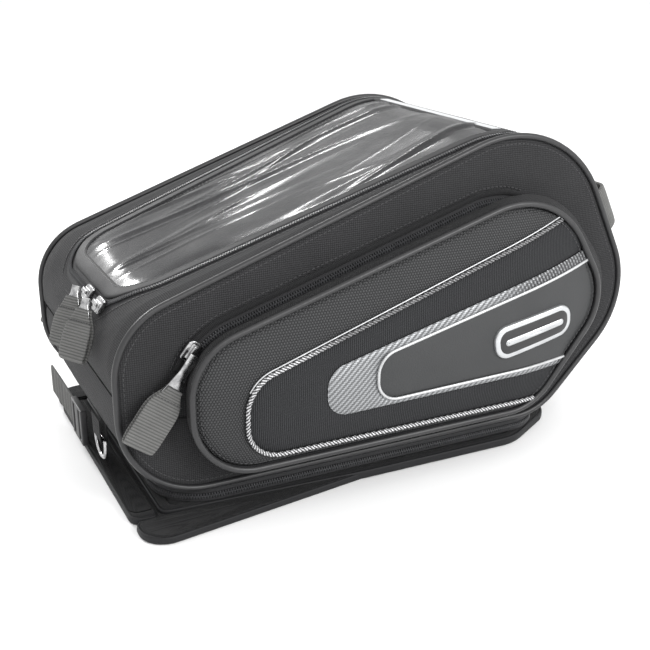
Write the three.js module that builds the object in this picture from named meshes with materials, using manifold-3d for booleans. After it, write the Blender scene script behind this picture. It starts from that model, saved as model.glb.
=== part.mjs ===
// Motorcycle tank bag. Millimetres, +Z up, +X towards the steering head, -X towards the rider.
// The origin is the middle of the base pad's underside, the face that lies on the tank.
// The bag is one wedge-shaped side profile carried across the width, with a zipped lid on its
// sloping top, a moulded pocket on each side and a zip-off base with magnet flaps.
import * as THREE from "three";
import { mergeVertices } from "three/addons/utils/BufferGeometryUtils.js";
import Module from "manifold-3d";

const wasm = await Module();
wasm.setup();

// ---------------------------------------------------------------- driving dimensions
const gap = 0.3; // clearance left between pieces that touch
const cornerSteps = 8; // facets on each rounded corner
const far = 400; // longer than anything, for cutting tools

// Body profile, side view: seam line through the piping, as corners with radii.
const bodyHalfWidth = 115;
const footHeight = 23;
const noseReach = 207;
const noseTopHeight = 148;
const crestReach = 141;
const crestHeight = 270;
const bellyReach = 221;
const bellyHeight = 111;
const heelReach = 136;
const noseFootRadius = 62;
const heelRadius = 50;
const bellyRadius = 66;
const crestRadius = 90;
const noseTopRadius = 52;

// Fabric and trim.
const panelThickness = 3; // outer cloth, foam and lining together
const pipingRadius = 2.3;
const wallInset = 0.5; // how far the cloth lies inside the seam line
const boardThickness = 2;
const boardMargin = 8; // board edge to the side panels
const boardCorner = 12;

// Lid, in plan: the zip's centre line.
const lidSideMargin = 9; // zip's centre line to the side seam, at the hinge
const lidNoseSideMargin = 37; // and at the nose, where the lid is narrower
const lidNoseMargin = 11; // zip's centre line to the nose
const lidHingeHalfWidth = bodyHalfWidth - lidSideMargin;
const lidNoseHalfWidth = bodyHalfWidth - lidNoseSideMargin;
const lidNoseReach = noseReach - lidNoseMargin;
const lidCornerRadius = 42;
const lidHingeX = 110;
const zipHalfWidth = 3;
const bindingWidth = 10;
const bindingProud = 0.8;
const windowThickness = 1.2;
const lidPanelThickness = 2.6;
const lidZipThickness = 2;

// Base.
const padThickness = 8;
const padInset = 7; // pad's edge to the side seam, beside the side flaps
const padFrontProud = 3;
const padTipInset = 29;
const padHalfWidth = bodyHalfWidth - padInset;
const padFrontHalfWidth = bodyHalfWidth + padFrontProud;
const padTipHalfWidth = bodyHalfWidth - padTipInset;
const padTaperX = 112;
const padFrontReach = 168;
const padRearInset = 28; // pad's rider edge to the nose
const padRearReach = noseReach - padRearInset;
const padOverlap = 12; // front half of the pad running into its rear half
const padRearCorner = 6;
const padShoulderCorner = 8;
const padTaperCorner = 40;
const padTipCorner = 28;
const flapFrontX = -24; // where the side flaps end
const flapThickness = 6;
const flapHingeGap = 4; // bare cloth left between pad and flap, which is the hinge
const sideFlapRearInset = 8;
const sideFlapRearReach = noseReach - sideFlapRearInset;
const sideFlapTipWidth = 31; // flap width at the rider's end
const sideFlapEndWidth = 4; // and at its other end
const sideFlapCorner = 18;
const riderFlapWidth = 17;
const riderFlapCorner = 8;
const flapInnerCorner = 2;
const sideMagnetInset = 39; // side magnet's middle to its flap's rider end
const sideMagnetX = -sideFlapRearReach + sideMagnetInset;
const magnetMargin = 1; // cloth between a magnet and the hinge edge
const magnetThickness = 3;
const magnetLength = 44;
const magnetWidth = 16;
const riderMagnetLength = 60;
const riderMagnetWidth = 9;

// Foot zip between base and bag, in plan: a rounded rectangle.
const footZipRearInset = 29;
const footZipFrontProud = 10; // past the heel corner
const footZipSideInset = 3;
const footZipRearReach = noseReach - footZipRearInset;
const footZipFrontReach = heelReach + footZipFrontProud;
const footZipHalfWidth = bodyHalfWidth - footZipSideInset;
const footZipRearRadius = 40;
const footZipFrontRadius = 30;
const footZipDepth = 2.4; // tape and coil, inwards
const footZipTapeHeight = 4.5;

// Side pockets: outline on the side panel, and outline of the moulded face.
const pocketDepth = 20; // side panel to the face's back
const pocketBack = [
  [-160, 32, 50],
  [126, 30, 48],
  [210, 114, 60],
  [130, 218, 74],
  [-160, 126, 46],
];
const pocketFace = [
  [-163, 41, 46],
  [112, 41, 46],
  [176, 122, 44],
  [119, 217, 68],
  [-163, 131, 44],
];
const faceThickness = 3;
const trimCordRadius = 1.6;
const bandOuter = [
  [-127, 49.5, 27],
  [260, 49.5, 1],
  [260, 234, 1],
  [-127, 105.5, 27],
];
const silverOuter = [
  [-68, 70, 17],
  [260, 76, 1],
  [260, 192, 1],
  [-68, 106, 17],
];
const silverInner = [
  [-29, 75, 17],
  [260, 82, 1],
  [260, 181, 1],
  [-29, 110, 17],
];
const badgeLength = 70;
const badgeHeight = 26;
const badgeThickness = 3;
const badgeCentre = [102, 108];
const badgeTilt = 10; // degrees
const badgeCorner = 9;
const cordReach = 118; // where the trim cord's upper run ends
const cordFootReach = 96; // and its lower run
const cordStraight = 0; // both runs are straight beyond this
const zipBandWidth = 5;
const zipBandClearance = 1.5; // keeps the band out from under the gusset's flare
const zipBandThickness = 2.2;
const pocketZipStart = [-160, 112];
const pocketZipEnd = [100, 206];
const pocketZipCentre = [0, 100]; // both ends of the zip are cut towards this point
const pocketSliderClearance = 3.5; // slider's edge to the flaring gusset
const pocketSliderTurn = 140; // degrees round the zip's nose bend
const pocketPullRun = [0.6, 0.8]; // from the webbing's end up to the slider

// Zip sliders, pulls and webbing.
const webbingWidth = 25;
const webbingThickness = 2.2;
const sliderLength = 15;
const sliderWidth = 11;
const sliderThickness = 3.2;
const sliderTailCorner = 2;
const sliderNoseCorner = 4;
const bridgeHeight = 2.6;
const bridgeWidth = 3.4;
const tabLength = 40;
const tabNeck = 7;
const tabFlare = 17;
const tabThickness = 1.8;
const pullLength = 42;
const lidPullLength = 36;
const pullFold = 8; // how far a tab reaches into its folded webbing
const lidSliders = [["1", -20], ["2", -50]];
const lidTabLength = 16;
const lidPullClearance = 6; // pull's pivot above the bridge
const lidPullLeanDegrees = 24; // resting against the wall's shoulder
const lidPullTurnDegrees = 30; // webbing's face turned to the near side

// Handle on the steering-head wall.
const handleInset = 17; // handle's knee to the side seam
const handleHalfSpan = bodyHalfWidth - handleInset;
const handleFoot = 9;
const handleStandOff = 21;
const handleWidth = 36;
const handleThickness = 3.2;
const handleKnee = 4; // strap's thickness measured along the span at its bends
const handleDrop = 88; // strap's upper edge below the crest corner, along the wall

// Hardware at the rider's foot.
const ringWire = 1.5;
const ringHalfWidth = 14;
const ringY = -45;
const ringInset = 3.6; // ring's axis to the nose's foremost line
const ringAxisX = -noseReach + ringInset;
const ringAxisZ = 44;
const tabEyeRadius = 3.2;
const strapTabTop = 60;
const strapTabWidth = 22;
const buckleWidth = 32;
const buckleHeight = 30;
const buckleThickness = 5;
const buckleSlotWidth = 5;
const buckleSlotPitch = 16;
const wireSides = 5; // facets on a quarter of the ring's wire
const wireSteps = 18;
const buckleY = 24;
const rearStrapProud = 4; // strap's end past the side seam
const rearStrapEndY = bodyHalfWidth + rearStrapProud;
const rearStrapLowZ = 13;

// ---------------------------------------------------------------- materials
function finish(color, roughness, metalness) {
  return new THREE.MeshStandardMaterial({ color, roughness, metalness });
}

const blackCloth = () => finish(0x1c1d1f, 0.85, 0);
const pipingSatin = () => finish(0x55585a, 0.45, 0);
const hexLeather = () => finish(0x3f4143, 0.5, 0);
const darkMesh = () => finish(0x26282a, 0.8, 0);
const silverTwill = () => finish(0xb9bbbd, 0.35, 0.4);
const greyWebbing = () => finish(0x9b9c9b, 0.8, 0);
const chrome = () => finish(0xd8dadc, 0.15, 1);
const clearFilm = () => finish(0xdfe3e6, 0.1, 0);
const zipCoil = () => finish(0x2d2f31, 0.5, 0);
const blackPlastic = () => finish(0x161718, 0.5, 0);
const magnetSteel = () => finish(0x8a8c8f, 0.3, 0.9);
const boardPlastic = () => finish(0x3a3b3c, 0.6, 0);

// ---------------------------------------------------------------- outlines and solids
function edgeNormal(from, to) {
  const along = new THREE.Vector2(to[0] - from[0], to[1] - from[1]).normalize();
  return new THREE.Vector2(along.y, -along.x);
}

// Points of a convex, anticlockwise polygon with rounded corners, grown outwards by offset.
function roundedOutline(corners, offset = 0) {
  const count = corners.length;
  return corners.flatMap((corner, i) => {
    const arriving = edgeNormal(corners[(i + count - 1) % count], corner);
    const leaving = edgeNormal(corner, corners[(i + 1) % count]);
    const radius = Math.max(corner[2] + offset, 0.5);
    const miter = arriving.clone().add(leaving).divideScalar(1 + arriving.dot(leaving));
    const centre = new THREE.Vector2(corner[0], corner[1]).addScaledVector(miter, offset - radius);
    const start = arriving.angle();
    const turn = (leaving.angle() - start + 2 * Math.PI) % (2 * Math.PI);
    return Array.from({ length: cornerSteps + 1 }, (_, step) => {
      const angle = start + (turn * step) / cornerSteps;
      return new THREE.Vector2(
        centre.x + radius * Math.cos(angle),
        centre.y + radius * Math.sin(angle),
      );
    });
  });
}

// Centre of the rounded corner at the nose's top, in an outline whose nose is upright.
function noseCorner(corners) {
  const [x, z, radius] = corners[4];
  const slope = (corners[3][1] - z) / (corners[3][0] - x);
  return [x + radius, z + slope * radius - radius * Math.hypot(1, slope)];
}

function extrude(points, depth) {
  return new THREE.ExtrudeGeometry(new THREE.Shape(points), { depth, bevelEnabled: false });
}

// A side-view outline carried across the bag from yLow to yHigh.
function acrossY(points, yLow, yHigh) {
  return extrude(points, yHigh - yLow).rotateX(Math.PI / 2).translate(0, yHigh, 0);
}

// A plan outline carried upwards from zLow to zHigh.
function upZ(points, zLow, zHigh) {
  return extrude(points, zHigh - zLow).translate(0, 0, zLow);
}

function box(low, high) {
  const size = high.map((value, i) => value - low[i]);
  const middle = high.map((value, i) => (value + low[i]) / 2);
  return new THREE.BoxGeometry(...size).translate(...middle);
}

// A closed ring through loops of equal length, the last loop joined back to the first.
function loftRing(loops) {
  const around = loops[0].length;
  const positions = loops.flat().flatMap((point) => point.toArray());
  const index = [];
  loops.forEach((_, row) => {
    const next = (row + 1) % loops.length;
    for (let i = 0; i < around; i++) {
      const j = (i + 1) % around;
      index.push(row * around + i, next * around + j, row * around + j);
      index.push(row * around + i, next * around + i, next * around + j);
    }
  });
  const geometry = new THREE.BufferGeometry();
  geometry.setAttribute("position", new THREE.Float32BufferAttribute(positions, 3));
  geometry.setIndex(index);
  return geometry;
}

function sideLoop(corners, offset, y) {
  return roundedOutline(corners, offset).map((point) => new THREE.Vector3(point.x, y, point.y));
}

// Round cord along a side-view outline.
function seamCord(corners, y, radius) {
  const sides = 8;
  const loops = Array.from({ length: sides }, (_, side) => {
    const angle = (2 * Math.PI * side) / sides;
    return sideLoop(corners, radius * Math.cos(angle), y + radius * Math.sin(angle));
  });
  return loftRing(loops);
}

function toSolid(geometry) {
  const bare = geometry.clone();
  bare.deleteAttribute("normal");
  bare.deleteAttribute("uv");
  const merged = mergeVertices(bare, 1e-4);
  return new wasm.Manifold(new wasm.Mesh({
    numProp: 3,
    vertProperties: new Float32Array(merged.attributes.position.array),
    triVerts: new Uint32Array(merged.index.array),
  }));
}

function toGeometry(solid) {
  const mesh = solid.getMesh();
  const geometry = new THREE.BufferGeometry();
  geometry.setAttribute("position", new THREE.BufferAttribute(mesh.vertProperties, 3));
  geometry.setIndex(new THREE.BufferAttribute(mesh.triVerts, 1));
  return geometry;
}

const root = new THREE.Group();

function add(name, shape, material) {
  const geometry = shape.isBufferGeometry ? shape : toGeometry(shape);
  const mesh = new THREE.Mesh(geometry, material);
  mesh.name = name;
  root.add(mesh);
  return mesh;
}

// Turns a piece built in its own frame so that its axes lie along three given directions.
function orient(geometry, alongX, alongY, origin) {
  const first = new THREE.Vector3(...alongX).normalize();
  const second = new THREE.Vector3(...alongY).normalize();
  const third = new THREE.Vector3().crossVectors(first, second).normalize();
  const matrix = new THREE.Matrix4().makeBasis(first, second, third);
  matrix.setPosition(...origin);
  return geometry.applyMatrix4(matrix);
}

// ---------------------------------------------------------------- body profile and its walls
const bodyProfile = [
  [-noseReach, footHeight, noseFootRadius],
  [heelReach, footHeight, heelRadius],
  [bellyReach, bellyHeight, bellyRadius],
  [crestReach, crestHeight, crestRadius],
  [-noseReach, noseTopHeight, noseTopRadius],
];
const panelInset = pipingRadius + gap; // cut edge of a side panel, inside its piping
const wallHalfWidth = bodyHalfWidth - pipingRadius - gap;

function profileSolid(offset, halfWidth) {
  return toSolid(acrossY(roundedOutline(bodyProfile, offset), -halfWidth, halfWidth));
}

// A skin that follows the profile between two offsets.
function profileSkin(outer, inner, halfWidth) {
  return profileSolid(outer, halfWidth).subtract(profileSolid(inner, halfWidth + 1));
}

// Wedge of the side view seen from a point under the lid hinge, held off its neighbours.
function wedge(fromAngle, toAngle) {
  const half = THREE.MathUtils.degToRad(toAngle - fromAngle) / 2;
  const middle = THREE.MathUtils.degToRad(fromAngle + toAngle) / 2;
  const setBack = gap / 2 / Math.sin(half);
  const apex = new THREE.Vector2(
    lidHingeX + setBack * Math.cos(middle),
    bellyHeight + setBack * Math.sin(middle),
  );
  const rays = [-1, -0.5, 0, 0.5, 1].map((share) => new THREE.Vector2(
    apex.x + far * Math.cos(middle + share * half),
    apex.y + far * Math.sin(middle + share * half),
  ));
  return toSolid(acrossY([apex, ...rays], -far, far));
}

function angleTo(x, z) {
  const angle = THREE.MathUtils.radToDeg(Math.atan2(z - bellyHeight, x - lidHingeX));
  return (angle + 360) % 360;
}

const riderTopAngle = angleTo(-noseReach, noseTopHeight - noseTopRadius);
const riderFootAngle = angleTo(-noseReach, footHeight);
const heelAngle = angleTo(heelReach, footHeight);
const wallSkin = profileSkin(-wallInset, -wallInset - panelThickness, wallHalfWidth);

// The lid's two sides spread from the nose to the hinge and run on past it.
const lidSpread = (lidHingeHalfWidth - lidNoseHalfWidth) / (lidHingeX + lidNoseReach);
const lidFarHalfWidth = lidHingeHalfWidth + lidSpread * (far - lidHingeX);
const lidPlan = [
  [-lidNoseReach, -lidNoseHalfWidth, lidCornerRadius],
  [far, -lidFarHalfWidth, 1],
  [far, lidFarHalfWidth, 1],
  [-lidNoseReach, lidNoseHalfWidth, lidCornerRadius],
];

function lidPrism(offset) {
  return toSolid(upZ(roundedOutline(lidPlan, offset), 0, far));
}

const lidOpening = lidPrism(zipHalfWidth + gap);
add("bottom_panel", wallSkin.intersect(wedge(riderFootAngle, heelAngle)), blackCloth());
add("rider_wall", wallSkin.intersect(wedge(riderTopAngle, riderFootAngle)), blackCloth());
add("front_wall", wallSkin.intersect(wedge(heelAngle - 360, 90)), blackCloth());
add("top_rim", wallSkin.intersect(wedge(90, riderTopAngle)).subtract(lidOpening), blackCloth());

const boardLow = footHeight + wallInset + panelThickness + gap;
const boardHalfWidth = wallHalfWidth - boardMargin;
add("bottom_board", upZ(roundedOutline([
  [-noseReach + noseFootRadius, -boardHalfWidth, boardCorner],
  [heelReach - heelRadius / 2, -boardHalfWidth, boardCorner],
  [heelReach - heelRadius / 2, boardHalfWidth, boardCorner],
  [-noseReach + noseFootRadius, boardHalfWidth, boardCorner],
]), boardLow, boardLow + boardThickness), boardPlastic());

const sides = [["left", -1], ["right", 1]];
const panelInner = wallHalfWidth + gap;
const panelOuter = panelInner + panelThickness;

// A side-view outline between two distances from the middle, on one side of the bag.
function onSide(side, points, near, away) {
  return side < 0 ? acrossY(points, -away, -near) : acrossY(points, near, away);
}

for (const [name, side] of sides) {
  const panel = roundedOutline(bodyProfile, -panelInset);
  add(`side_panel_${name}`, onSide(side, panel, panelInner, panelOuter), blackCloth());
  add(`piping_${name}`, seamCord(bodyProfile, side * bodyHalfWidth, pipingRadius), pipingSatin());
}

// ---------------------------------------------------------------- lid
function lidLayer(outer, inner, planOuter, planInner) {
  const hingeEdge = toSolid(box([-far, -far, 0], [lidHingeX - 2 * gap, far, far]));
  const noseEnd = wedge(90, riderTopAngle);
  const layer = profileSkin(outer, inner, wallHalfWidth).intersect(lidPrism(planOuter));
  const ring = planInner === undefined ? layer : layer.subtract(lidPrism(planInner));
  return ring.intersect(hingeEdge).intersect(noseEnd);
}

const bindingOuterEdge = -zipHalfWidth - gap;
const bindingInnerEdge = bindingOuterEdge - bindingWidth;
const windowEdge = bindingInnerEdge - gap;
const windowFloor = -wallInset - windowThickness;
const zipFloor = -wallInset - lidZipThickness;
add("lid_zip_outer", lidLayer(-wallInset, zipFloor, zipHalfWidth, gap / 2), zipCoil());
add("lid_zip_inner", lidLayer(-wallInset, zipFloor, -gap / 2, -zipHalfWidth), zipCoil());
add("lid_binding", lidLayer(
  bindingProud - wallInset,
  -wallInset - panelThickness,
  bindingOuterEdge,
  bindingInnerEdge,
), blackCloth());
add("map_window", lidLayer(-wallInset, windowFloor, windowEdge), clearFilm());
add("lid_panel", lidLayer(
  windowFloor - gap,
  windowFloor - gap - lidPanelThickness,
  windowEdge,
), blackCloth());

// ---------------------------------------------------------------- sliders, tabs and webbing pulls
// A slider lies flat: length along X, width along Y, bridge standing up in Z, back face at z = 0.
function sliderBody() {
  const nose = sliderWidth / 2;
  const body = upZ(roundedOutline([
    [-sliderLength / 2, -nose, sliderTailCorner],
    [sliderLength / 2, -nose, sliderNoseCorner],
    [sliderLength / 2, nose, sliderNoseCorner],
    [-sliderLength / 2, nose, sliderTailCorner],
  ]), 0, sliderThickness);
  const bridge = box(
    [-sliderLength / 3, -bridgeWidth / 2, sliderThickness - 0.5],
    [sliderLength / 3, bridgeWidth / 2, sliderThickness + bridgeHeight],
  );
  return toGeometry(toSolid(body).add(toSolid(bridge)));
}

// A pull tab runs along -X from its pivot at the origin and lies in the XY plane.
function pullTab(length) {
  const plate = new THREE.Shape([
    new THREE.Vector2(0, tabNeck / 2),
    new THREE.Vector2(-length / 3, tabNeck / 2),
    new THREE.Vector2(-length, tabFlare / 2),
    new THREE.Vector2(-length, -tabFlare / 2),
    new THREE.Vector2(-length / 3, -tabNeck / 2),
    new THREE.Vector2(0, -tabNeck / 2),
  ]);
  const thickness = { depth: tabThickness, bevelEnabled: false };
  return new THREE.ExtrudeGeometry(plate, thickness).translate(0, 0, -tabThickness / 2);
}

// Folded webbing, open at its +X end for the tab, in the tab's own frame.
function webbingPull(tab, length) {
  const start = -(tab - pullFold);
  const half = webbingWidth / 2;
  const thick = webbingThickness + tabThickness / 2;
  const folded = box([start - length, -half, -thick], [start, half, thick]);
  const pocket = box(
    [-tab - gap, -tabFlare / 2 - gap, -tabThickness / 2 - gap],
    [start + 1, tabFlare / 2 + gap, tabThickness / 2 + gap],
  );
  return toGeometry(toSolid(folded).subtract(toSolid(pocket)));
}

// The nose's sloping surface under the lid sliders: a point and its outward normal.
const noseArc = new THREE.Vector2(...noseCorner(bodyProfile));
const sliderLean = Math.acos((-lidNoseReach - noseArc.x) / noseTopRadius);
const noseNormal = [Math.cos(sliderLean), 0, Math.sin(sliderLean)];
const lidSliderLift = noseTopRadius + bindingProud + gap;
const lidPullLean = THREE.MathUtils.degToRad(lidPullLeanDegrees);
const lidPullTurn = THREE.MathUtils.degToRad(lidPullTurnDegrees);
const lidPullUp = [
  Math.sin(lidPullLean) * Math.cos(lidPullTurn),
  Math.sin(lidPullLean) * Math.sin(lidPullTurn),
  Math.cos(lidPullLean),
];
const lidPullAcross = [Math.sin(lidPullTurn), -Math.cos(lidPullTurn), 0];

for (const [name, y] of lidSliders) {
  const foot = [
    noseArc.x + lidSliderLift * noseNormal[0],
    y,
    noseArc.y + lidSliderLift * noseNormal[2],
  ];
  const along = [0, 1, 0];
  const across = new THREE.Vector3().crossVectors(
    new THREE.Vector3(...noseNormal),
    new THREE.Vector3(...along),
  );
  add(`lid_slider_${name}`, orient(sliderBody(), along, across.toArray(), foot), chrome());
  const clear = sliderThickness + bridgeHeight + lidPullClearance;
  const pivot = foot.map((value, i) => value + clear * noseNormal[i]);
  const place = (piece) => orient(piece, lidPullUp, lidPullAcross, pivot);
  add(`lid_tab_${name}`, place(pullTab(lidTabLength)), chrome());
  add(`lid_pull_${name}`, place(webbingPull(lidTabLength, lidPullLength)), greyWebbing());
}

// ---------------------------------------------------------------- side pockets
const pocketBackY = panelOuter + gap;
const faceBackY = pocketBackY + pocketDepth;
const facePipingY = faceBackY + gap + pipingRadius;
const pocketSliderAngle = THREE.MathUtils.degToRad(pocketSliderTurn);

// The sector of the side view above the pocket, between its zip's two ends.
function pocketZipSector() {
  const points = [
    pocketZipCentre,
    pocketZipEnd,
    [pocketZipEnd[0], far],
    [-far, far],
    pocketZipStart,
  ];
  return toSolid(acrossY(points.map(([x, z]) => new THREE.Vector2(x, z)), -far, far));
}

function plateOnFace(side, corners, offset) {
  return toSolid(onSide(side, roundedOutline(corners, offset), faceBackY - 10, faceBackY + 20));
}

function pocketGusset(side) {
  const loops = [
    sideLoop(pocketBack, 0, side * pocketBackY),
    sideLoop(pocketFace, 0, side * faceBackY),
    sideLoop(pocketFace, -panelThickness, side * faceBackY),
    sideLoop(pocketBack, -panelThickness, side * pocketBackY),
  ];
  return loftRing(side > 0 ? loops : loops.reverse());
}

// The face is one moulded plate, cut into its sewn fields by three nested outlines.
function pocketFaceFields(name, side) {
  const low = faceBackY + gap;
  const outline = roundedOutline(pocketFace, -panelInset);
  const face = toSolid(onSide(side, outline, low, low + faceThickness));
  const half = gap / 2;
  const field = (outer, inner) => {
    const held = outer ? face.intersect(plateOnFace(side, outer, -half)) : face;
    return inner ? held.subtract(plateOnFace(side, inner, half)) : held;
  };
  add(`pocket_hex_band_${name}`, field(null, bandOuter), hexLeather());
  add(`pocket_mesh_band_${name}`, field(bandOuter, silverOuter), darkMesh());
  add(`pocket_silver_band_${name}`, field(silverOuter, silverInner), silverTwill());
  add(`pocket_centre_${name}`, field(silverInner, null), hexLeather());
}

// Trim cord on the seam round the mesh band: both ends run to the face's piping.
function trimCord(side) {
  const y = side * (faceBackY + gap + faceThickness + gap + trimCordRadius);
  const inside = new THREE.Box2(
    new THREE.Vector2(-far, 0),
    new THREE.Vector2(cordReach, far),
  );
  const nose = roundedOutline(bandOuter).filter((point) => inside.containsPoint(point));
  const split = cornerSteps + 1;
  const topSlope = (bandOuter[2][1] - bandOuter[3][1]) / (bandOuter[2][0] - bandOuter[3][0]);
  const topZ = bandOuter[3][1] + topSlope * (cordReach - bandOuter[3][0]);
  const route = [
    new THREE.Vector2(cordReach, topZ),
    new THREE.Vector2(cordStraight, topZ - topSlope * (cordReach - cordStraight)),
    ...nose.slice(split),
    ...nose.slice(0, split),
    new THREE.Vector2(cordStraight, bandOuter[0][1]),
    new THREE.Vector2(cordFootReach, bandOuter[0][1]),
  ].map((point) => new THREE.Vector3(point.x, y, point.y));
  const section = new THREE.Shape().absarc(0, 0, trimCordRadius, 0, 2 * Math.PI);
  return new THREE.ExtrudeGeometry(section, {
    steps: 30,
    curveSegments: 4,
    bevelEnabled: false,
    extrudePath: new THREE.CatmullRomCurve3(route, false, "centripetal"),
  });
}

function badge(side) {
  const corners = [
    [-badgeLength / 2, -badgeHeight / 2, badgeCorner],
    [badgeLength / 2, -badgeHeight / 2, badgeCorner],
    [badgeLength / 2, badgeHeight / 2, badgeCorner],
    [-badgeLength / 2, badgeHeight / 2, badgeCorner],
  ];
  const tilt = THREE.MathUtils.degToRad(badgeTilt);
  const outline = roundedOutline(corners).map((point) => point
    .rotateAround(new THREE.Vector2(0, 0), tilt)
    .add(new THREE.Vector2(...badgeCentre)));
  const low = faceBackY + gap + faceThickness + gap;
  return onSide(side, outline, low, low + badgeThickness);
}

// Zip tape and coil sewn to the side panel over the pocket's upper edge.
function pocketZip(side) {
  const outer = roundedOutline(pocketBack, zipBandClearance + zipBandWidth);
  const inner = roundedOutline(pocketBack, zipBandClearance);
  const low = pocketBackY;
  const band = toSolid(onSide(side, outer, low, low + zipBandThickness));
  return band.subtract(toSolid(onSide(side, inner, low - 1, far))).intersect(pocketZipSector());
}

const pocketNose = noseCorner(pocketBack);
const pocketSliderRadius = pocketBack[4][2] + pocketSliderClearance + sliderWidth / 2;
const pocketSliderAt = [
  pocketNose[0] + pocketSliderRadius * Math.cos(pocketSliderAngle),
  pocketNose[1] + pocketSliderRadius * Math.sin(pocketSliderAngle),
];

function pocketSliderAndPull(name, side) {
  const lift = pocketBackY + zipBandThickness + gap;
  const along = [Math.sin(pocketSliderAngle), 0, -Math.cos(pocketSliderAngle)];
  const out = [0, side, 0];
  const across = new THREE.Vector3().crossVectors(
    new THREE.Vector3(...out),
    new THREE.Vector3(...along),
  ).toArray();
  const foot = [pocketSliderAt[0], side * lift, pocketSliderAt[1]];
  add(`pocket_slider_${name}`, orient(sliderBody(), along, across, foot), chrome());
  const clear = sliderThickness + bridgeHeight + webbingThickness + tabThickness / 2 + gap;
  const pivot = [foot[0], side * (lift + clear), foot[2]];
  const hang = [pocketPullRun[0], 0, pocketPullRun[1]];
  const width = new THREE.Vector3().crossVectors(
    new THREE.Vector3(...out),
    new THREE.Vector3(...hang),
  ).toArray();
  add(`pocket_tab_${name}`, orient(pullTab(tabLength), hang, width, pivot), chrome());
  const pull = orient(webbingPull(tabLength, pullLength), hang, width, pivot);
  add(`pocket_pull_${name}`, pull, greyWebbing());
}

for (const [name, side] of sides) {
  add(`pocket_gusset_${name}`, pocketGusset(side), blackCloth());
  const cord = seamCord(pocketFace, side * facePipingY, pipingRadius);
  add(`pocket_piping_${name}`, cord, pipingSatin());
  pocketFaceFields(name, side);
  add(`pocket_trim_cord_${name}`, trimCord(side), chrome());
  add(`pocket_badge_${name}`, badge(side), chrome());
  add(`pocket_zip_${name}`, pocketZip(side), zipCoil());
  pocketSliderAndPull(name, side);
}

// ---------------------------------------------------------------- base, flaps and foot zip
const footZipPlan = [
  [-footZipRearReach, -footZipHalfWidth, footZipRearRadius],
  [footZipFrontReach, -footZipHalfWidth, footZipFrontRadius],
  [footZipFrontReach, footZipHalfWidth, footZipFrontRadius],
  [-footZipRearReach, footZipHalfWidth, footZipRearRadius],
];

function footRing(zLow, zHigh) {
  const outer = toSolid(upZ(roundedOutline(footZipPlan), zLow, zHigh));
  const inner = toSolid(upZ(roundedOutline(footZipPlan, -footZipDepth), zLow - 1, zHigh + 1));
  return outer.subtract(inner);
}

const lowerZipFoot = padThickness + gap;
const upperZipFoot = lowerZipFoot + footZipTapeHeight + gap;
const gussetFoot = upperZipFoot + footZipTapeHeight + gap;
add("base_zip_lower", footRing(lowerZipFoot, lowerZipFoot + footZipTapeHeight), zipCoil());
add("base_zip_upper", footRing(upperZipFoot, upperZipFoot + footZipTapeHeight), zipCoil());
add(
  "foot_gusset",
  footRing(gussetFoot, bellyHeight).subtract(profileSolid(gap - wallInset, far)),
  blackCloth(),
);

const flapHingeX = padRearReach + flapHingeGap;
const padRear = [
  [-padRearReach, -padHalfWidth, padRearCorner],
  [flapFrontX + padOverlap, -padHalfWidth, 1],
  [flapFrontX + padOverlap, padHalfWidth, 1],
  [-padRearReach, padHalfWidth, padRearCorner],
];
const padFront = [
  [flapFrontX, -padFrontHalfWidth, padShoulderCorner],
  [padTaperX, -padFrontHalfWidth, padTaperCorner],
  [padFrontReach, -padTipHalfWidth, padTipCorner],
  [padFrontReach, padTipHalfWidth, padTipCorner],
  [padTaperX, padFrontHalfWidth, padTaperCorner],
  [flapFrontX, padFrontHalfWidth, padShoulderCorner],
];
const pad = toSolid(upZ(roundedOutline(padRear), 0, padThickness))
  .add(toSolid(upZ(roundedOutline(padFront), 0, padThickness)));
add("base_pad", pad, blackCloth());

const magnetLow = (flapThickness - magnetThickness) / 2;
const slotLow = magnetLow - gap;
const slotHigh = magnetLow + magnetThickness + gap;

function mirrorY(points, side) {
  return side < 0 ? points : points.map(([x, y, r]) => [x, -y, r]).reverse();
}

function sideFlap(name, side) {
  const inner = padHalfWidth + flapHingeGap;
  const corners = mirrorY([
    [-sideFlapRearReach, -inner - sideFlapTipWidth, sideFlapCorner],
    [flapFrontX - gap, -inner - sideFlapEndWidth, flapInnerCorner],
    [flapFrontX - gap, -inner, flapInnerCorner],
    [-sideFlapRearReach, -inner, padRearCorner],
  ], side);
  const cloth = toSolid(upZ(roundedOutline(corners), 0, flapThickness));
  const nearY = inner + magnetMargin;
  const farY = nearY + magnetWidth;
  const half = magnetLength / 2;
  const span = (low, high) => (side < 0 ? [-high, -low] : [low, high]);
  const [slotStart, slotEnd] = span(inner - magnetMargin, farY + gap);
  const [magnetStart, magnetEnd] = span(nearY, farY);
  const slot = box(
    [sideMagnetX - half - gap, slotStart, slotLow],
    [sideMagnetX + half + gap, slotEnd, slotHigh],
  );
  add(`side_flap_${name}`, cloth.subtract(toSolid(slot)), blackCloth());
  add(`side_magnet_${name}`, box(
    [sideMagnetX - half, magnetStart, magnetLow],
    [sideMagnetX + half, magnetEnd, magnetLow + magnetThickness],
  ), magnetSteel());
}

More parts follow.
